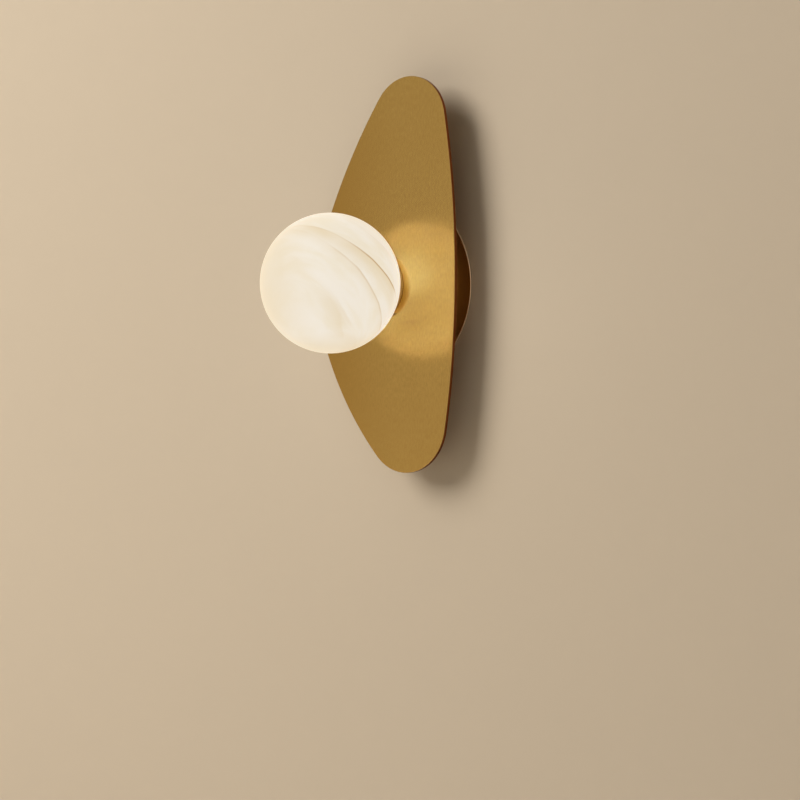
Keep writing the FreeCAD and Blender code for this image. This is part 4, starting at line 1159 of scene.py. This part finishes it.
def cup_section():
    """A shallow cup whose rim follows the globe."""
    rim = CUP_RADIUS - CUP_TAPER
    outer_rim, inner_rim = (GLOBE_OUT - math.sqrt(CUP_BALL ** 2 - radius ** 2)
                            for radius in (rim, CUP_INNER))
    return softened((NIPPLE_HOLE, PLATE_FRONT), (CUP_RADIUS, PLATE_FRONT, CUP_ROUND),
                    (rim, outer_rim, CUP_RIM_ROUND), (CUP_INNER, inner_rim, CUP_RIM_ROUND),
                    (CUP_INNER, CUP_FLOOR, CUP_FILLET), (NIPPLE_HOLE, CUP_FLOOR))


def brass_cup():
    """The cup with the holes for its pin and its three grub screws."""
    drills = [pin_drill()]
    for turn in map(math.radians, CUP_SCREWS.values()):
        ends = [at(reach * math.cos(turn), CUP_SCREW_OUT, reach * math.sin(turn)) for reach in CUP_DRILL]
        drills.append(drill_rod(CUP_SCREW_RADIUS, *ends))
    return drilled(turned("brass_cup", cup_section(), sharp=CUP_SHARP), *drills)


stand_in(brass_cup(), "cup", look="cup_brass")


# Small pieces

# Canopy screws: one straight up, one straight down
for cad_node, tilt in (("canopy_screw_top", 0), ("canopy_screw_bottom", math.pi)):
    screw = slotted_screw(cad_node.replace("canopy", "side"), "brass_screw", **SIDE_SCREW)
    turn = Matrix.Rotation(tilt, 4, "X")
    stand_in(placed(screw, Matrix.Translation(at(0, CANOPY_SCREW_OUT, 0)) @ turn), cad_node)

# Grub screws round the cup, their slots along the lamp axis
for cad_node, angle in CUP_SCREWS.items():
    radial = Vector((math.cos(math.radians(angle)), 0, math.sin(math.radians(angle))))
    outward = Vector((0, -1, 0))
    screw = grub_screw(cad_node.replace("globe", "grub"), "brass_screw", **CUP_GRUB)
    turn = Matrix((outward, radial.cross(outward), radial)).transposed().to_4x4()
    stand_in(placed(screw, Matrix.Translation(at(0, CUP_SCREW_OUT, 0)) @ turn), cad_node)

# Nipple, nuts, washer and pin
nipple_end = NIPPLE_RADIUS - NIPPLE_CHAMFER
nipple = spun("threaded_nipple", [(NIPPLE_BORE, NIPPLE_FRONT), (NIPPLE_BORE, NIPPLE_BACK),
                                  (nipple_end, NIPPLE_BACK)]
              + threaded(NIPPLE_BACK + NIPPLE_CHAMFER, NIPPLE_FRONT - NIPPLE_CHAMFER, NIPPLE_RADIUS,
                         NIPPLE_PITCH)
              + [(nipple_end, NIPPLE_FRONT)])
stood(cut_thread(nipple, "zinc_steel", NIPPLE_PITCH, NIPPLE_RADIUS, NIPPLE_BACK, NIPPLE_FRONT), "nipple")

from_cad("back_nut", "canopy_nut", edge=0.12)
from_cad("front_nut", "holder_nut", edge=0.12)

tooth_middle = (WASHER_ROOT + WASHER_RADIUS) / 2
washer = spun("toothed_washer",
              ring_section(NIPPLE_HOLE, WASHER_ROOT, WASHER_BACK, WASHER_FRONT, WASHER_EDGE, steps=3))
grown(washer, tooth_tree, "zinc_steel", Count=WASHER_TEETH, Radius=tooth_middle * MM,
      Height=(WASHER_BACK + WASHER_FRONT) / 2 * MM,
      Length=(WASHER_RADIUS - WASHER_ROOT + TOOTH_OVERLAP) * MM,
      Width=(2 * math.pi * tooth_middle / WASHER_TEETH - TOOTH_GAP) * MM, Sheet=TOOTH_SHEET * MM,
      Twist=TOOTH_TWIST)
stood(washer, "canopy_washer")

pin_section = softened((0, PIN_BACK), (PIN_HEAD_RADIUS, PIN_BACK, PIN_HEAD_ROUND),
                       (PIN_HEAD_RADIUS, CANOPY_INSIDE, PIN_SEAT_ROUND), (PIN_RADIUS, CANOPY_INSIDE),
                       (PIN_RADIUS, CUP_FLOOR, PIN_TIP_ROUND), (0, CUP_FLOOR))
stood(spun("locating_rivet", pin_section, SCREW_STEPS), "locating_pin", PIN_Z)

# Strap, bush, terminal block and earth terminal
from_cad("bent_strap", "wall_bracket", edge=0.25, steps=3)
bush_section = softened((BUSH_BORE, 0, 0.3), (BUSH_NECK, 0, 0.2), (BUSH_NECK, BUSH_FLANGE_BACK),
                        (BUSH_FLANGE, BUSH_FLANGE_BACK, 0.15), (BUSH_FLANGE, BUSH_FRONT, 0.6),
                        (BUSH_BORE, BUSH_FRONT, 0.6))
stand_in(turned("cable_grommet", bush_section, SMALL_STEPS), "cable_bush")
from_cad("screw_block", "terminal_block", edge=0.25, steps=3)
from_cad("clamp_bars", "terminal_inserts", edge=0.12)
clamp = grub_screw("clamp_screws", "zinc_steel", **CLAMP_GRUB)
grown(clamp, rows_tree, "zinc_steel", Columns=2, Rows=2, Column_Pitch=POLE_SPACING * MM,
      Row_Pitch=CLAMP_SPACING * MM)
stood(clamp, "terminal_clamp_screws", BLOCK_Z)
stood(slotted_screw("block_screw", "zinc_steel", **BLOCK_SCREW), "terminal_block_screw", BLOCK_Z)
stood(slotted_screw("earth_stud_screw", "zinc_steel", **EARTH_SCREW), "earth_screw", EARTH_Z)
stood(spun("plain_washer", ring_section(*EARTH_WASHER, EARTH_WASHER_EDGE), SCREW_STEPS), "earth_washer",
      EARTH_Z)
from_cad("strap_tag", "earth_tag", edge=0.1)
from_cad("canopy_tag", "canopy_earth_tag", edge=0.1)

# Seal, holder and bulb
stand_in(turned("neck_gasket", ring_section(NECK_BORE, SEAL_RADIUS, CUP_FLOOR, SEAL_FRONT, SEAL_EDGE)),
         "neck_seal")
from_cad("holder_bridge", "holder_bracket", edge=0.15)
from_cad("ceramic_holder", "lampholder", edge=0.4, steps=3)
from_cad("spring_contacts", "lampholder_contacts", edge=0.06)
ear_screws = slotted_screw("ear_screws", "zinc_steel", **EAR_SCREW)
grown(ear_screws, rows_tree, "zinc_steel", Columns=2, Rows=1, Column_Pitch=HOLDER_SCREW_SPACING * MM)
stood(ear_screws, "holder_screws")
from_cad("pin_loops", "bulb_pins", edge=0.05)
from_cad("bulb_foot", "bulb_base", edge=0.25, steps=3)

dome = (0, CAPSULE_FOOT + CAPSULE_LENGTH - CAPSULE_RADIUS)
capsule_inner = CAPSULE_RADIUS - CAPSULE_WALL
capsule = turned("frosted_capsule", [(capsule_inner, CAPSULE_FOOT), (CAPSULE_RADIUS, CAPSULE_FOOT)]
                 + arc(dome, CAPSULE_RADIUS, 0, 90, steps=16)[:-1] + [(0, CAPSULE_FOOT + CAPSULE_LENGTH)]
                 + [(0, dome[1] + capsule_inner)] + arc(dome, capsule_inner, 90, 0, steps=16)[1:],
                 SMALL_STEPS)
stand_in(capsule, "bulb_capsule")

post = boxed("light_post", *[(-POST_HALF, POST_HALF)] * 2, (CAPSULE_FOOT, CAPSULE_FOOT + POST_LENGTH))
edge = post.modifiers.new("edge", "BEVEL")
edge.width = POST_EDGE * MM
edge.segments = 3
applied(post)
chip_pitch = POST_LENGTH / CHIP_ROWS
grown(post, chip_tree, "light_post", Rows=CHIP_ROWS, Pitch=chip_pitch * MM,
      First=(CAPSULE_FOOT + chip_pitch / 2) * MM, Reach=CHIP_REACH * MM, Side=CHIP_SIDE * MM,
      Thickness=CHIP_THICKNESS * MM)
stood(post, "bulb_core")


# Leads

def smooth_line(points):
    """Points read from the NURBS line that these control points give."""
    data = bpy.data.curves.new("line", "CURVE")
    data.dimensions = "3D"
    data.resolution_u = LEAD_RESOLUTION
    spline = data.splines.new("NURBS")
    spline.points.add(len(points) - 1)
    for knot, point in zip(spline.points, points):
        knot.co = (*point, 1)
    spline.order_u = 3
    spline.use_endpoint_u = True
    line = add_object("line", data)
    mesh = evaluated_mesh(line)
    path = [vertex.co.copy() for vertex in mesh.vertices]
    bpy.data.objects.remove(line)
    bpy.data.curves.remove(data)
    bpy.data.meshes.remove(mesh)
    return path


def lead_tube(name, route):
    """An insulated lead with a UV map that counts once round it and in radii along it."""
    path = smooth_line([at(*point) for point in route])
    last = len(path) - 1
    bm = bmesh.new()
    layer = bm.loops.layers.uv.new("around")
    side = (path[1] - path[0]).orthogonal()
    rings, lengths = [], [0.0]
    for k, here in enumerate(path):
        run = (path[min(k + 1, last)] - path[max(k - 1, 0)]).normalized()
        side = (side - run * side.dot(run)).normalized()
        other = run.cross(side)
        rings.append([bm.verts.new(here + (side * math.cos(t) + other * math.sin(t)) * LEAD_RADIUS * MM)
                      for t in around(LEAD_STEPS)])
        if k:
            lengths.append(lengths[-1] + (here - path[k - 1]).length / (LEAD_RADIUS * MM))
    for k in range(last):
        for j in range(LEAD_STEPS):
            nxt = (j + 1) % LEAD_STEPS
            face = bm.faces.new([rings[k][j], rings[k][nxt], rings[k + 1][nxt], rings[k + 1][j]])
            corners = ((j, k), (j + 1, k), (j + 1, k + 1), (j, k + 1))
            for loop, (turn, step) in zip(face.loops, corners):
                loop[layer].uv = (turn / LEAD_STEPS, lengths[step])
    bm.faces.new(rings[0])
    bm.faces.new(rings[-1])
    return finish_mesh(name, bm)


stand_in(lead_tube("brown_wire", LIVE_ROUTE), "live_lead")
stand_in(lead_tube("blue_wire", [(-x, out, z) for x, out, z in LIVE_ROUTE]), "neutral_lead")
stand_in(lead_tube("earth_wire", EARTH_ROUTE), "earth_lead")


# Stage, in metres

FLOOR_Z = -0.45
HALF_ROOM = 40.0
WALL_Y = 0.0004
WALL_HOLE = 0.0665
FLOOR_COLOUR = srgb(222, 216, 206)
WALL_COLOUR = srgb(206, 192, 172)
# How strongly the stage is lifted near the sconce and far off, and how far those are
LIFT = (0.0, 0.92)
LIFT_REACH = (1.4, 4.0)


def seen_directly(tree):
    """1 for what the camera, a gloss or a clear surface shows, 0 for what only lights the object."""
    path = node(tree, "ShaderNodeLightPath").outputs
    mirrored = math_node(tree, "MAXIMUM", path["Is Glossy Ray"], path["Is Transmission Ray"])
    return math_node(tree, "MAXIMUM", path["Is Camera Ray"], mirrored)


def stage_material(name, colour):
    """A matt colour that is there only for someone in the room: from behind or below it is clear.

    Far from the lamps it is seen as pale as the room, so it has no dark horizon.
    """
    material, tree, shader = new_material(name, Roughness=0.9, Specular_IOR_Level=0.1, Base_Color=colour,
                                          Emission_Color=colour)
    reach = vector_math(tree, "LENGTH", object_place(tree))["Value"]
    lift = eased(tree, reach, *LIFT_REACH, *LIFT)
    feed(tree, shader.inputs["Emission Strength"], product(tree, seen_directly(tree), lift))
    side = node(tree, "ShaderNodeNewGeometry").outputs["Backfacing"]
    clear = node(tree, "ShaderNodeBsdfTransparent").outputs[0]
    mix = node(tree, "ShaderNodeMixShader", [side, shader.outputs[0], clear])
    feed(tree, tree.nodes["Material Output"].inputs["Surface"], mix.outputs[0])
    return material


def flat_stage(name, corners, material, hole=0):
    """A flat sheet, with a round hole about the lamp axis where the canopy hides it."""
    bm = bmesh.new()
    loops = [[bm.verts.new(corner) for corner in corners]]
    if hole:
        loops.append([bm.verts.new((hole * math.cos(t), corners[0][1], hole * math.sin(t)))
                      for t in around(SMALL_STEPS)])
    edges = [bm.edges.new((loop[k - 1], loop[k])) for loop in loops for k in range(len(loop))]
    up = Vector((0, -1, 0)) if hole else Vector((0, 0, 1))
    bmesh.ops.triangle_fill(bm, use_beauty=True, edges=edges, normal=up)
    for face in bm.faces:
        if face.normal.dot(up) < 0:
            face.normal_flip()
    mesh = store(bm, bpy.data.meshes.new(name))
    mesh.materials.append(material)
    piece = add_object(name, mesh)
    return piece


SIDES = ((-1, -1), (1, -1), (1, 1), (-1, 1))
flat_stage("floor", [(x * HALF_ROOM, y * HALF_ROOM, FLOOR_Z) for x, y in SIDES],
           stage_material("pale_floor", FLOOR_COLOUR))
wall = flat_stage("wall", [(x * HALF_ROOM, WALL_Y, HALF_ROOM if z > 0 else FLOOR_Z) for x, z in SIDES],
                  stage_material("pale_wall", WALL_COLOUR), WALL_HOLE)
wall.visible_shadow = False


# Light, in metres and watts

FILL_LEVEL = 0.13
SEEN_LEVEL = 0.8
ROOM_COLOUR = srgb(250, 244, 234)


def room_light():
    """Soft light from every side, and a pale room that glossy surfaces and the camera see."""
    world = bpy.data.worlds.new("room")
    bpy.context.scene.world = world
    world.use_nodes = True
    tree = world.node_tree
    more = product(tree, seen_directly(tree), SEEN_LEVEL - FILL_LEVEL)
    room = tree.nodes["Background"].inputs
    feed(tree, room["Color"], ROOM_COLOUR)
    feed(tree, room["Strength"], math_node(tree, "ADD", FILL_LEVEL, more))


def soft_box(name, place, power, size, colour):
    """A square lamp that is aimed at the sconce and doesn't mirror in it."""
    data = bpy.data.lights.new(name, "AREA")
    data.energy = power
    data.color = colour
    data.shape = "SQUARE"
    data.size = size
    lamp = add_object(name, data)
    lamp.location = place
    lamp.rotation_euler = (-Vector(place)).to_track_quat("-Z", "Y").to_euler()
    lamp.visible_glossy = False


def inner_glow(name, place, power, radius, colour):
    """A round lamp inside the globe, which moves with it."""
    data = bpy.data.lights.new(name, "POINT")
    data.energy = power
    data.color = colour
    data.shadow_soft_size = radius
    data.use_soft_falloff = False
    data.cycles.use_multiple_importance_sampling = False
    lamp = add_object(name, data)
    lamp.location = place
    lamp.parent = frame["bodies"]["globe"]
    lamp.visible_camera = False


room_light()
soft_box("key", (-1.3, -1.9, 1.3), power=60, size=1.6, colour=(1.0, 0.96, 0.9))
soft_box("behind", (0.4, 2.2, 0.6), power=40, size=1.6, colour=(1.0, 0.98, 0.95))
inner_glow("glow", at(0, GLOBE_OUT, 0), power=0.052, radius=0.0495, colour=(0.9, 1.04, 1.12))
inner_glow("neck_glow", at(18, 40, 9), power=0.0051, radius=0.014, colour=(0.6, 0.85, 1.2))
globe.visible_shadow = False


# Camera, at the photograph's place and angle

CAMERA_PLACE = (0.9534, -1.1359, -0.0832)
CAMERA_TURN = 40.0
CAMERA_LENS = 90
CAMERA_SENSOR = 36
view = bpy.data.cameras.new("camera")
view.lens = CAMERA_LENS
view.sensor_width = CAMERA_SENSOR
camera = add_object("camera", view)
camera.location = CAMERA_PLACE
camera.rotation_euler = (math.radians(90), 0, math.radians(CAMERA_TURN))
bpy.context.scene.camera = camera
bpy.context.scene.view_settings.view_transform = "Standard"
